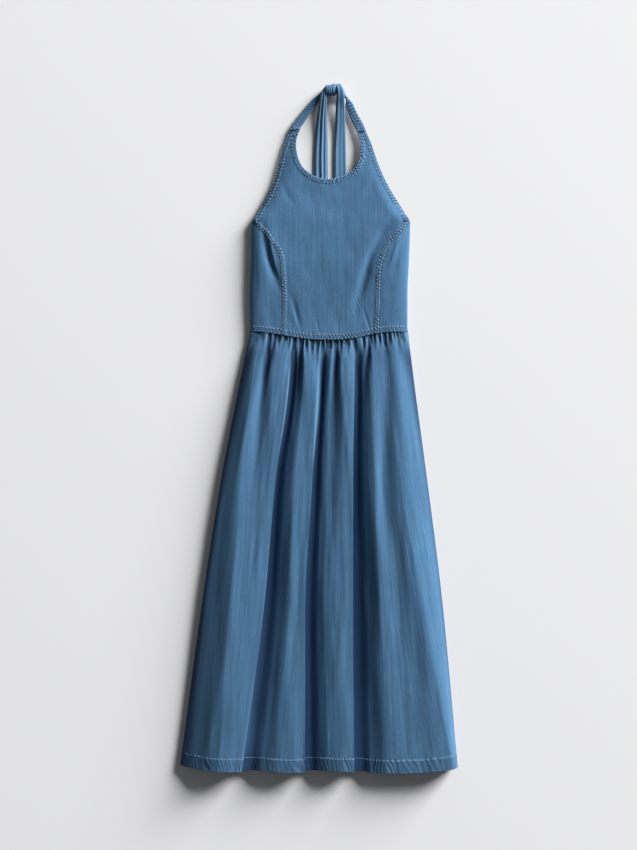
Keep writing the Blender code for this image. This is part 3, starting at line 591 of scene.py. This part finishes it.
def sew(name, cloths, rows):
    """Stitches along rows of x and y in mm, lying on the highest of the cloths under them."""
    trees = [BVHTree.FromPolygons([v.co for v in cloth.data.vertices],
                                  [face.vertices for face in cloth.data.polygons]) for cloth in cloths]
    turn = 2 * np.pi * np.arange(STITCH_SIDES) / STITCH_SIDES
    points, faces = [], []
    for row in rows:
        line = np.asarray(row, float)
        count = int(np.linalg.norm(np.diff(line, axis=0), axis=1).sum() / STITCH_PITCH)
        middle = along(line, (np.arange(count) + 0.5) / count)
        for here, left in zip(middle, leftwards(middle)):
            way, rings = np.array([left[1], -left[0]]), []
            for step, girth, lift in STITCH_RINGS:
                spot = here + way * step * STITCH_LENGTH
                above = Vector((spot[0] * MM, spot[1] * MM, 0.2))
                hits = [tree.ray_cast(above, Vector((0, 0, -1)))[0] for tree in trees]
                tops = [hit.z / MM for hit in hits if hit]
                if not tops:
                    break
                across = np.outer(np.cos(turn), left) * girth * THREAD_RADIUS
                up = np.sin(turn) * girth * THREAD_RADIUS * 0.8 + max(tops) + lift
                rings.append(np.column_stack([spot + across, up]))
            if len(rings) < len(STITCH_RINGS):
                continue
            first, n = sum(len(made) for made in points), STITCH_SIDES
            points.append(np.vstack(rings))
            faces += [(first + r * n + k, first + r * n + (k + 1) % n,
                       first + (r + 1) * n + (k + 1) % n, first + (r + 1) * n + k)
                      for r in range(len(rings) - 1) for k in range(n)]
            faces.append(tuple(first + k for k in reversed(range(n))))
            faces.append(tuple(first + (len(rings) - 1) * n + k for k in range(n)))
    mesh = bpy.data.meshes.new(name)
    mesh.from_pydata((np.vstack(points) * MM).tolist(), [], faces)
    mesh.shade_smooth()
    mesh.materials.append(thread.material)
    stitches = bpy.data.objects.new(name, mesh)
    scene.collection.objects.link(stitches)
    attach(stitches, "root")
    return stitches


neck_stitches = sew("neckline_stitches", [bodice_front_centre],
                    [moved(NECKLINE, -d) for d in STITCH_LINES])
arm_stitches = sew("armhole_stitches", [bodice_front_centre],
                   [moved(ARMHOLE_L, d) for d in STITCH_LINES]
                   + [moved(ARMHOLE_R, -d) for d in STITCH_LINES])
princess_stitches = sew("princess_seam_stitches", [bodice_front_centre],
                        [moved(LAP_L[2:], d) for d in PRINCESS_LINES]
                        + [moved(LAP_R[2:], -d) for d in PRINCESS_LINES])

# ---- Bodice, side fronts ----
# A curved panel of the same denim on each side, from the princess seam to the side seam. Its inner edge
# lies under the centre front's fold, and its outer edge rolls down to the back on the floor.

# The side edge turns under the cloth by ROLL_UNDER and stops at SEAM_LIFT above the floor
ROLL_UNDER, SEAM_LIFT = 4.0, 1.4
SEAM_LENGTH = 238.0
SEAM_ROWS, ACROSS_COLUMNS, UNDER_COLUMNS = 170, 52, 9
NEAR_STEPS = EDGE_STEPS[:15]


def side_front(name, node, seam, side, armhole, seed):
    share = np.concatenate([np.linspace(0, 1 - 16.0 / SEAM_LENGTH, SEAM_ROWS),
                            1 - EDGE_STEPS[::-1] / SEAM_LENGTH])
    inner = along(seam, share)
    inner[:, 1] -= share**4 * (inner[-1, 1] - waist_y(inner[-1, 0]))
    low = WAIST[0 if side < 0 else -1][1]
    outer_y = UNDERARM_Y - 1.0 + (low - UNDERARM_Y + 1.0) * share
    edges = bodice_row(outer_y)
    outer_x = edges[0] if side < 0 else edges[1]
    rows, cuts = [], []
    for (x0, y0), x1, y1, v in zip(inner, outer_x, outer_y, share):
        reach = abs(x1 - x0)
        near = NEAR_STEPS * min(1.0, 0.5 * reach / NEAR_STEPS[-1])
        far = near[-1] + (reach - near[-1]) * np.sin(np.linspace(0, np.pi / 2, ACROSS_COLUMNS)[1:])
        out = np.concatenate([near, far])
        x, y = x0 + side * out, y0 + (y1 - y0) * out / reach
        y = y + (waist_y(x) - (y0 + (y1 - y0) * out / reach)) * v**12
        under = np.linspace(0, 1, UNDER_COLUMNS)[1:]
        rows.append(np.stack([np.append(x, x1 - side * ROLL_UNDER * under**2),
                              np.append(y, np.full(under.shape, y[-1])), np.append(0 * x, under)], axis=1))
        cuts.append(np.stack([np.append(x, x1 + side * 7.0 * under), rows[-1][:, 1]], axis=1))
    grid, cut = np.array(rows)[:, ::side], np.array(cuts)[:, ::side]
    x, y, under = grid[..., 0], grid[..., 1], grid[..., 2]
    relief = Relief(x)
    to_seam, run = measure_to(seam, x, y)
    relief.rise -= 1.2 * (1.0 - eased((to_seam - LAP + 1.2) / 1.8))
    # Painted shadow on the side front just past the centre front's lapped edge
    relief.deep += 0.55 * dip(to_seam - LAP - 0.2, 1.0)
    pucker = eased((to_seam - LAP) / 1.5) * (1.0 - eased((to_seam - LAP) / 15.0))
    relief.rise += 0.25 * pucker * uneven(run + 0.4 * to_seam, to_seam, (6.0, 26), seed)
    to_arm, run = measure_to(armhole, x, y)
    relief.stitched_edge(to_arm, run, 4.0, (1.9,), seed + 5, rope=0.2, worn=0.8)
    to_waist, run = measure_to(WAIST, x, y)
    relief.stitched_edge(to_waist, run, WAIST_BAND, WAIST_LINES, seed + 9, rise=0.4, rope=0.42)
    relief.seam(to_waist, depth=0.5, dark=0.3)
    top = bodice_height(x, y) + relief.rise * (under <= 0)
    z = np.where(under > 0, top + (SEAM_LIFT - top) * under, top)
    points, cut = turned_in(np.dstack([x, y, z]), cut, relief, -1)
    cloth = lay_cloth(name, points, cut, relief)
    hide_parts(node)
    return cloth


bodice_side_left = side_front("bodice_side_left_cloth", "bodice_front_side_left",
                              PRINCESS_L, -1, ARMHOLE_L, 71)
bodice_side_right = side_front("bodice_side_right_cloth", "bodice_front_side_right",
                               PRINCESS_R, 1, ARMHOLE_R, 91)

# ---- Bodice, back ----
# A plain panel of the same denim, cut straight across at the underarms. It lies flat on the
# floor under the front, with two soft creases, and is sewn to the side fronts at the side seams.

BACK_LIFT = 0.7


def lay_back(name, node, points, cut, seed):
    relief = Relief(points[..., 0])
    relief.worn += 0.1 + 0.1 * uneven(points[..., 0], points[..., 1], (20, 60), seed)
    cloth = lay_cloth(name, points, cut, relief)
    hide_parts(node)
    return cloth


share = np.linspace(0, 1, 90)
rows = []
for t in np.linspace(0, 1, 70):
    side_y = UNDERARM_Y - 1.0 + t * (WAIST[0][1] - UNDERARM_Y + 1.0)
    left, right = bodice_row(np.array([side_y]))[:2, 0]
    x = left + ROLL_UNDER + (right - left - 2 * ROLL_UNDER) * share
    y = (1 - t) * (side_y - 10.0 * np.sin(np.pi * share) * (1 - t)) + t * (waist_y(x) + 4.0 * (1 - t))
    z = BACK_LIFT + np.sin(np.pi * t) * (2.2 * dip(x + 45.0, 9.0) + 1.8 * dip(x - 82.0, 8.0))
    rows.append(np.stack([x, y, z], axis=1))
points = np.array(rows)
bodice_back = lay_back("bodice_back_cloth", "bodice_back", points, points[..., :2], 5)

# ---- Skirt, front ----
# One A-line panel of the same denim, gathered into the waist seam. It hangs in a few long folds and
# many short ones, and its hem is turned up 25 mm and stitched once.

# Shares of the way down the skirt at which the tables of folds give their values
SKIRT_STATIONS = (0.0, 0.12, 0.33, 0.61, 1.0)
HEM = [(-264, -640), (-211, -648), (-124, -649), (-55, -651), (-4, -649), (66, -650), (110, -653),
       (190, -651), (264, -643)]
# Long folds from the left side seam to the right one: x and height at each station down the skirt
FRONT_FOLDS = [
    dict(name="seam_left", x=(-126, -143, -177, -213, -256), z=(1.4, 1.4, 1.4, 1.4, 1.4)),
    dict(name="side_left", x=(-131, -151, -184, -220, -263.4), z=(6, 8, 9, 9, 8)),
    dict(name="shoulder_left", x=(-125, -141, -168, -197, -232), z=(11, 16, 20, 21, 21)),
    dict(name="crest_left", x=(-112, -124, -146, -164, -188), z=(15, 23, 29, 34, 37)),
    dict(name="edge_left", x=(-53, -60, -82, -103, -146), z=(15, 24, 29, 32, 34)),
    dict(name="under_left", x=(-49, -57, -83, -105, -148), z=(13, 14, 15, 16, 17)),
    dict(name="trough_left", x=(-44, -50, -75, -93, -130), z=(12, 12, 13, 13, 13)),
    dict(name="rise_left", x=(-38, -43, -63, -77, -108), z=(14, 19, 21, 21, 22)),
    dict(name="crest_mid_left", x=(-27, -30, -45, -54, -78), z=(17, 26, 29, 31, 31)),
    dict(name="edge_mid_left", x=(0, -5, -13, -26, -27), z=(16, 25, 29, 31, 33)),
    dict(name="under_mid_left", x=(5, 2, -14, -28, -29), z=(13, 15, 14, 14, 14)),
    dict(name="trough_mid_left", x=(10, 6, -5, -17, -16), z=(12, 12, 12, 12, 12)),
    dict(name="rise_centre", x=(15, 13, 5, -1, 2), z=(14, 19, 20, 20, 20)),
    dict(name="crest_centre", x=(25, 24, 17, 12, 20), z=(16, 24, 26, 26, 27)),
    dict(name="crest_mid_right", x=(49, 49, 48, 45, 47), z=(17, 27, 30, 31, 32)),
    dict(name="edge_mid_right", x=(65, 66, 64, 64, 66), z=(16, 25, 29, 31, 32)),
    dict(name="under_mid_right", x=(68, 67, 62, 62, 64), z=(13, 14, 14, 14, 14)),
    dict(name="trough_mid_right", x=(74, 74, 72, 75, 80), z=(12, 12, 12, 12, 12)),
    dict(name="rise_right", x=(84, 84, 86, 93, 100), z=(14, 19, 21, 21, 20)),
    dict(name="crest_right", x=(98, 104, 106, 118, 130), z=(16, 25, 30, 33, 28)),
    dict(name="trough_right", x=(120, 125, 124, 146, 175), z=(14, 22, 26, 31, 31)),
    dict(name="crest_far_right", x=(142, 146, 154, 190, 250), z=(16, 26, 32, 35, 34)),
    dict(name="side_right", x=(169, 181, 204, 233, 263), z=(7, 11, 13, 13, 13)),
    dict(name="seam_right", x=(164, 173, 197, 226, 256), z=(1.4, 1.4, 1.4, 1.4, 1.4)),
]
# Gathers that start at the waist seam: x there, drift sideways, length and depth
FRONT_GATHERS = [
    (-124, -4, 60, 2.5), (-117, -2, 45, 3.0), (-107, 0, 26, 2.0), (-93, 22, 600, 7.0), (-82, -8, 110, 4.5),
    (-74, 3, 30, 2.0), (-64, -6, 40, 2.5), (-46, -6, 90, 4.0), (-34, 13, 240, 5.0), (-24, 5, 50, 3.0),
    (-14, 5, 60, 3.5), (-4, 3, 70, 3.5), (7, 2, 60, 3.0), (18, -4, 46, 3.5), (33, -5, 640, 8.0),
    (42, -6, 60, 4.0), (55, -2, 40, 2.5), (68, 2, 50, 3.0), (84, -1, 36, 2.5), (96, -22, 190, 5.0),
    (103, -2, 40, 2.5), (112, 3, 36, 2.5), (122, 4, 60, 3.0), (133, -3, 40, 2.5), (148, 1, 56, 3.5),
    (157, 3, 30, 2.0),
]
SMALL_GATHERS, WAIST_MIDDLE, WAIST_HALF = 124, 20, 144
# At the waist: the gap under the bodice's edge, the step down to the skirt, and the length over which the
# folds come out of the seam. No gather sinks below LOWEST.
WAIST_GAP, WAIST_STEP, WAIST_EASE, LOWEST = 0.5, 0.3, 36.0, 11.6
HEM_DEPTH, HEM_STITCHES = 25.0, 23.6
SKIRT_COLUMNS = 400


def small_gathers():
    """Short creases between the long gathers, closer together in the middle of the waist."""
    chance = np.random.default_rng(7)
    places = np.sort(chance.uniform(-1, 1, SMALL_GATHERS))
    return [(WAIST_MIDDLE + WAIST_HALF * place,
             chance.uniform(-2, 2), chance.uniform(9, 40), chance.uniform(0.9, 2.6))
            for place in np.sign(places) * np.abs(places) ** 1.15]


def gather_sink(across, down):
    total = np.zeros_like(across)
    for gathers, width, spread in ((FRONT_GATHERS, 2.6, 0.05), (small_gathers(), 1.3, 0.06)):
        for start, drift, length, depth in gathers:
            t = down / length
            middle = start + drift * np.clip(t, 0, 1)
            girth = width + spread * np.minimum(down, length)
            held = 0.5 + 0.5 * eased(down / 9.0)
            total += depth * held * (1.0 - eased(t)) * dip(across - middle, girth)
    return total


def skirt_rows(length):
    """Shares of the skirt's length for the rows of its mesh, close together at the waist and the hem."""
    waist = np.linspace(0, 58, 52)
    middle = np.linspace(58, length - 34, 132)[1:]
    hem = length - np.array([30, 27.5, 26.4, 25.6, 24.8, 24.1, 23.4, 22.4, 21, 19.4, 17.8, 16.2, 14.6, 13,
                             11.4, 9.8, 8.2, 6.6, 5.1, 3.7, 2.5, 1.5, 0.8, 0.35, 0])
    return np.concatenate([waist, middle, hem]) / length


length = WAIST[0][1] - HEM[0][1]
row_shares, column_shares = skirt_rows(length), np.linspace(0, 1, SKIRT_COLUMNS)
fold_x = np.array([fold["x"] for fold in FRONT_FOLDS], float)
fold_z = np.array([fold["z"] for fold in FRONT_FOLDS], float)
apart = np.hypot(np.diff(fold_x.mean(axis=1)), np.diff(fold_z.mean(axis=1)))
place = np.concatenate([[0], np.cumsum(apart)]) / apart.sum()
x = through(place, through(SKIRT_STATIONS, fold_x.T, row_shares).T, column_shares).T
z = through(place, through(SKIRT_STATIONS, fold_z.T, row_shares).T, column_shares).T
y_waist = waist_y(x[0]) - WAIST_GAP
hem_line = along(HEM, np.linspace(0, 1, 200))
y_hem = np.interp(through(place, fold_x[:, -1], column_shares), hem_line[:, 0], hem_line[:, 1])
y = y_waist + (y_hem - y_waist) * row_shares[:, None]
down = y_waist - y
span = x.max(axis=1, keepdims=True) - x.min(axis=1, keepdims=True)
across = x[0].min() + (x - x.min(axis=1, keepdims=True)) / span * (x[0].max() - x[0].min())
loose = eased((z - SEAM_LIFT) / 8.0)
seam_z = bodice_height(x[0], y_waist) - WAIST_STEP
z = z + (seam_z - z) * loose * (1.0 - eased(down / WAIST_EASE))
sink = gather_sink(across, down)
z = np.maximum(z - loose * sink, np.minimum(z, LOWEST))
# Cloth is never quite even between its folds
far_down = eased(down / 60.0) * loose
z = z + far_down * (1.1 * uneven(across, down, (13, 150), 33) + 0.45 * uneven(across, down, (6, 70), 34))
z = np.maximum(z, SEAM_LIFT)
knee = np.searchsorted(row_shares, 0.6)
flat_x = np.concatenate([[0], np.cumsum(np.hypot(np.diff(x[knee]), np.diff(z[knee])))])
relief = Relief(x)
above_hem = np.abs(y_hem - y)
run = np.broadcast_to(flat_x * 1.12, x.shape)
relief.stitched_edge(above_hem, run, HEM_DEPTH, (HEM_STITCHES,), 101, rope=0.40, worn=0.85,
                     period=7.0, slant=0.15, diagonal=0.50)
relief.turned_edge(above_hem)
# Painted shadow at the top of the skirt, under the bodice's edge
relief.deep += 0.5 * dip(down, 1.6)
# Painted shade in the bottoms of the folds, and in the gathers near the waist
relief.deep += loose * (0.95 * far_down * (1.0 - eased((z - 12.0) / 10.0))
                        + 0.55 * np.clip(sink / 4.0, 0, 1) * (1.0 - eased(down / 150.0)))
held = 1.0 - eased(down / 40.0)
crest = np.clip(z - np.minimum(np.roll(z, 4, axis=1), np.roll(z, -4, axis=1)), 0, 2.0)
relief.worn += 0.16 * held * crest * loose
points = np.dstack([x, y, z + relief.rise * loose])
cut = np.dstack([np.broadcast_to(flat_x, x.shape), -down])
points, cut = turned_in(points, cut, relief, -1)
tucked = points[:1] + [0, 2.6, -2.4]
points, cut = np.concatenate([tucked, points]), np.concatenate([cut[:1] + [0, 3.0], cut])
relief.lengthen(1, 0)
skirt_front = lay_cloth("skirt_front_cloth", points, cut, relief)
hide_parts("skirt_front")
seam_x = np.linspace(-128.5, 166.5, 120)
waist_row = np.stack([seam_x, waist_y(seam_x)], axis=1)
waist_stitches = sew("waist_seam_stitches", [bodice_front_centre, bodice_side_left, bodice_side_right],
                     [moved(waist_row, d) for d in WAIST_LINES])
seam_x = np.linspace(-258, 258, 120)
hem_row = np.stack([seam_x, np.interp(seam_x, *hem_line.T)], axis=1)
hem_stitches = sew("hem_stitches", [skirt_front], [moved(hem_row, HEM_STITCHES)])

# ---- Skirt, back ----
# The same A-line cut as the front, of the same denim, gathered the same way into the waist seam. It lies
# on the floor under the front, with low folds, some of which run down to the hem.

# One gather in BACK_LONG_EVERY runs on down to the hem
BACK_GATHERS, BACK_LONG_EVERY, BACK_RISE = 20, 4, 3.0
back_x = np.linspace(0, 1, 8 * BACK_GATHERS + 1)
phase = back_x * BACK_GATHERS
long_fold = (np.floor(phase) % BACK_LONG_EVERY) == 1
bulge = np.clip(1.0 - np.abs(phase % 1.0 - 0.5) / 0.25, 0.0, 1.0)
seam_left, seam_right = FRONT_FOLDS[0]["x"], FRONT_FOLDS[-1]["x"]
top = waist_y(seam_left[0] + (seam_right[0] - seam_left[0]) * back_x) - WAIST_GAP
low = np.interp(seam_left[-1] + (seam_right[-1] - seam_left[-1]) * back_x, *hem_line.T)
rows = []
for v in np.concatenate([np.linspace(0, 0.25, 30), np.linspace(0.25, 0.97, 40)[1:],
                         np.linspace(0.97, 1, 8)[1:]]):
    left, right = (through(SKIRT_STATIONS, seam, [v])[0] for seam in (seam_left, seam_right))
    x = left + (right - left) * back_x
    fade = np.clip(1.0 - v / np.where(long_fold, 1.3, 0.22), 0.0, 1.0) * (0.4 + 0.6 * eased(v / 0.03))
    rows.append(np.stack([x, top + (low - top) * v, BACK_LIFT + BACK_RISE * eased(bulge) * fade], axis=1))
points = np.array(rows)
skirt_back = lay_back("skirt_back_cloth", "skirt_back", points, points[..., :2], 6)

# ---- Straps and tie ends ----
# Strips of the same denim folded into flat tubes. A strap is sewn to each prong of the bodice and goes
# into the knot. The two ends come out of the knot in soft pleats and hang down behind the neckline.

# Middle line of each strip, from the bodice or the knot on: x, y and the height of its underside
STRAP_L = [(-46, 566.0, 6.4), (-39.5, 577, 4.6), (-28, 594, 3.4), (-10, 617, 3.2), (5.5, 635.0, 5.0)]
STRAP_R = [(80.5, 563.5, 6.4), (75.5, 575, 4.6), (68.5, 588, 3.4), (58.5, 610, 3.2), (49.5, 631, 5.0)]
TIE_L = [(9, 636, 9.5), (8.2, 624, 9.0), (6.3, 600, 5.6), (4.5, 560, 0.8), (3.5, 500, 0.3), (3, 402, 0.3)]
TIE_R = [(36.5, 650.5, 10), (38.5, 643, 16.0), (40.3, 630, 14.5), (40.4, 606, 6.4), (40.5, 560, 0.8),
         (40, 500, 0.3), (40, 402, 0.3)]
STRAP_BAND, STRAP_LINES = 7.4, (1.9, 6.6)
STRIP_COLUMNS = 91


def strip(name, node, path, width, thick, ends, pleats, stitched, rows, seed):
    """A folded strip of cloth along a middle line.

    ends gives half of the line at its start and at its end, as a step in x and y, where the strip isn't
    cut square. pleats are lengthwise folds: place across (-1 to 1), width, rise, and wander.
    """
    share = np.linspace(0, 1, rows)
    centre = along(path, share)
    given = np.linspace(0, 1, len(path))
    wide, deep = through(given, width, share), through(given, thick, share)
    half = leftwards(centre[:, :2]) * wide[:, None] / 2
    for end, from_end in zip(ends, (share, 1 - share)):
        if end:
            turned = eased(from_end / 0.3)[:, None]
            half = np.array(end) * (1 - turned) + half * turned
    # Round the section: from the slit under it, out to one edge, over the top, and back to the slit
    turn = np.linspace(0, 1, STRIP_COLUMNS)
    c = -np.cos(np.pi * np.interp(turn, [0, 0.25, 0.75, 1], [0.5, 0.0, 1.0, 0.5])) * 0.999
    over = (turn > 0.25) & (turn < 0.75)
    bulge = (1.0 - np.abs(c) ** 3) ** 0.5
    c, over, bulge, turn = (np.broadcast_to(v, (rows, STRIP_COLUMNS)) for v in (c, over, bulge, turn))
    steps = np.linalg.norm(np.diff(centre[:, :2], axis=0), axis=1)
    run = np.cumsum(np.concatenate([[0], steps]))[:, None] + 0 * c
    away = (1.0 - np.abs(c)) * np.linalg.norm(half, axis=1)[:, None]
    relief = Relief(run)
    lift = np.zeros_like(c)
    for middle, girth, rise, wander in pleats:
        place = middle + wander * uneven(run, 0 * run, (60, 9), seed + 40)
        lift += rise * dip(c - place, girth)
    if stitched:
        relief.stitched_edge(away, run, STRAP_BAND, stitched, seed, rise=0.35, rope=0.30, diagonal=0.15)
    else:
        relief.worn += 0.30 * dip(away, 1.2) + 0.20 * np.clip(lift, 0, 1.5)
        # Painted shade in the hollows between the pleats
        relief.deep += 0.35 * np.clip(-np.gradient(np.gradient(lift, axis=1), axis=1) * -6.0, 0, 1)
    z = centre[:, 2:] + deep[:, None] / 2 * (1 + np.where(over, 1, -1) * bulge)
    z = z + np.where(over, lift + relief.rise * np.clip(away / 1.0, 0, 1), 0.85 * lift)
    across = centre[:, None, :2] + half[:, None] * c[..., None]
    points = np.dstack([across[..., 0], across[..., 1], z])
    cut = np.dstack([turn * 2 * wide.mean(), run])
    cloth = lay_cloth(name, points, cut, relief)
    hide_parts(node)
    return cloth


strap_left = strip("strap_left_cloth", "strap_left", STRAP_L, width=(19, 16.5, 14.5, 14, 12),
                   thick=(2.0, 2.6, 2.8, 3.2, 4.5), ends=((-9.6, -1.0), (0.0, 4.6)),
                   pleats=[(0.1, 0.35, 0.5, 0.2)], stitched=STRAP_LINES, rows=110, seed=121)
strap_right = strip("strap_right_cloth", "strap_right", STRAP_R, width=(18, 17, 16, 15.5, 12),
                    thick=(2.0, 2.6, 2.8, 3.2, 4.5), ends=((-8.8, -1.0), (0.0, -4.6)),
                    pleats=[(-0.1, 0.4, 0.5, 0.2)], stitched=STRAP_LINES, rows=110, seed=131)
tie_left = strip("tie_left_cloth", "tie_end_left", TIE_L, width=(12, 19, 25, 27, 28, 28),
                 thick=(5.0, 4.2, 3.2, 2.6, 2.4, 2.4), ends=(None, None),
                 pleats=[(-0.58, 0.30, 2.0, 0.16), (0.12, 0.22, 2.8, 0.24), (0.66, 0.16, 1.4, 0.10)],
                 stitched=(), rows=240, seed=141)
tie_right = strip("tie_right_cloth", "tie_end_right", TIE_R, width=(10, 17, 20, 22, 24, 26, 26),
                  thick=(3.0, 3.6, 3.4, 3.0, 2.6, 2.4, 2.4), ends=(None, None),
                  pleats=[(-0.60, 0.34, 1.8, 0.14), (0.20, 0.50, 0.8, 0.20), (0.80, 0.10, 0.8, 0.03)],
                  stitched=(), rows=260, seed=151)
# Two rows along each strap, and three across it where it is sewn to its prong
strap_rows = []
for path, out in ((STRAP_L, 5.2), (STRAP_R, 5.6)):
    middle = along(np.array(path)[:, :2], np.linspace(0.02, 0.9, 30))
    strap_rows += [moved(middle, d) for d in (-out, out)]
strap_rows += [[(-54.5, y - 0.6), (-36, y + 1.2)] for y in (567.5, 572.0, 576.0)]
strap_rows += [[(71, y + 0.6), (89, y - 1.2)] for y in (565.5, 569.5, 573.5)]
strap_stitches = sew("strap_stitches", [strap_left, strap_right], strap_rows)

# ---- Knot ----
# The two straps are tied at the nape. The knot is a bunched core of both strips, and one pleated turn of
# a strip pulled round it.

# The core from its left end to its right: middle, half width, and the heights of its lower and upper face
KNOT_CORE = [
    dict(x=4.5, y=634.5, half=4.5, low=3.2, high=11.0),
    dict(x=8, y=636.5, half=7.5, low=2.6, high=15.0),
    dict(x=14, y=639.5, half=9.0, low=2.4, high=17.0),
    dict(x=22, y=640.2, half=9.2, low=2.4, high=18.0),
    dict(x=30, y=641.5, half=9.8, low=2.4, high=17.5),
    dict(x=37, y=642.5, half=10.5, low=2.6, high=17.0),
    dict(x=43, y=639.0, half=9.8, low=2.8, high=15.0),
    dict(x=48, y=633.0, half=7.2, low=3.2, high=12.0),
    dict(x=51, y=629.0, half=4.5, low=3.6, high=9.5),
]


def knot_shell(name, node, places, grow, furrows, seed, sink_ends):
    """A turn of cloth round the knot's core, grown outwards, with furrows at x, of a width and depth."""
    table = [[ring[k] for k in ("y", "half", "low", "high")] for ring in KNOT_CORE]
    y, half, low, high = through([ring["x"] for ring in KNOT_CORE], table, places).T[..., None]
    angle = np.linspace(1.5, -0.5, 121) * np.pi + 0 * y
    x = np.asarray(places)[:, None] + 0 * angle
    relief = Relief(x)
    out = grow + 0 * angle
    for along_x, width, depth in furrows:
        off = x - along_x - 1.2 * np.sin(angle * 2 + seed)
        out -= depth * dip(off, width)
        # Painted shade in each furrow
        relief.deep += 0.5 * dip(off, width * 0.7)
    out += 0.35 * uneven(x, (angle + 7) * 9, (3.0, 14), seed)
    end = np.minimum(x - x.min(), x.max() - x)
    out -= sink_ends * (1 - np.sqrt(1 - np.clip(1 - end / 2.2, 0, 1) ** 2 * 0.999))
    relief.worn += 0.35 * dip(end - 1.6, 0.9) + 0.15
    # Painted shade at the very ends, where the turn sinks in
    relief.deep += 0.8 * dip(end, 0.9)
    points = np.dstack([x, y + (half + out) * np.cos(angle),
                        np.maximum((low + high) / 2 + ((high - low) / 2 + out) * np.sin(angle), 0.3)])
    cloth = lay_cloth(name, points, np.dstack([x, angle * 11.0]), relief)
    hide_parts(node)
    return cloth


knot_core = knot_shell("knot_core_cloth", "knot_core", np.linspace(4.5, 51, 90), 0.0,
                       [(8, 0.9, 1.2), (11, 0.8, 0.9), (34, 1.0, 1.3), (39, 1.1, 1.1), (45, 1.0, 1.2)],
                       3, 1.5)
knot_wrap = knot_shell("knot_wrap_cloth", "knot_wrap", np.linspace(13, 31, 60), 2.0,
                       [(17.2, 0.9, 0.9), (21.4, 0.8, 1.1), (25.2, 0.9, 0.8)], 8, 1.6)
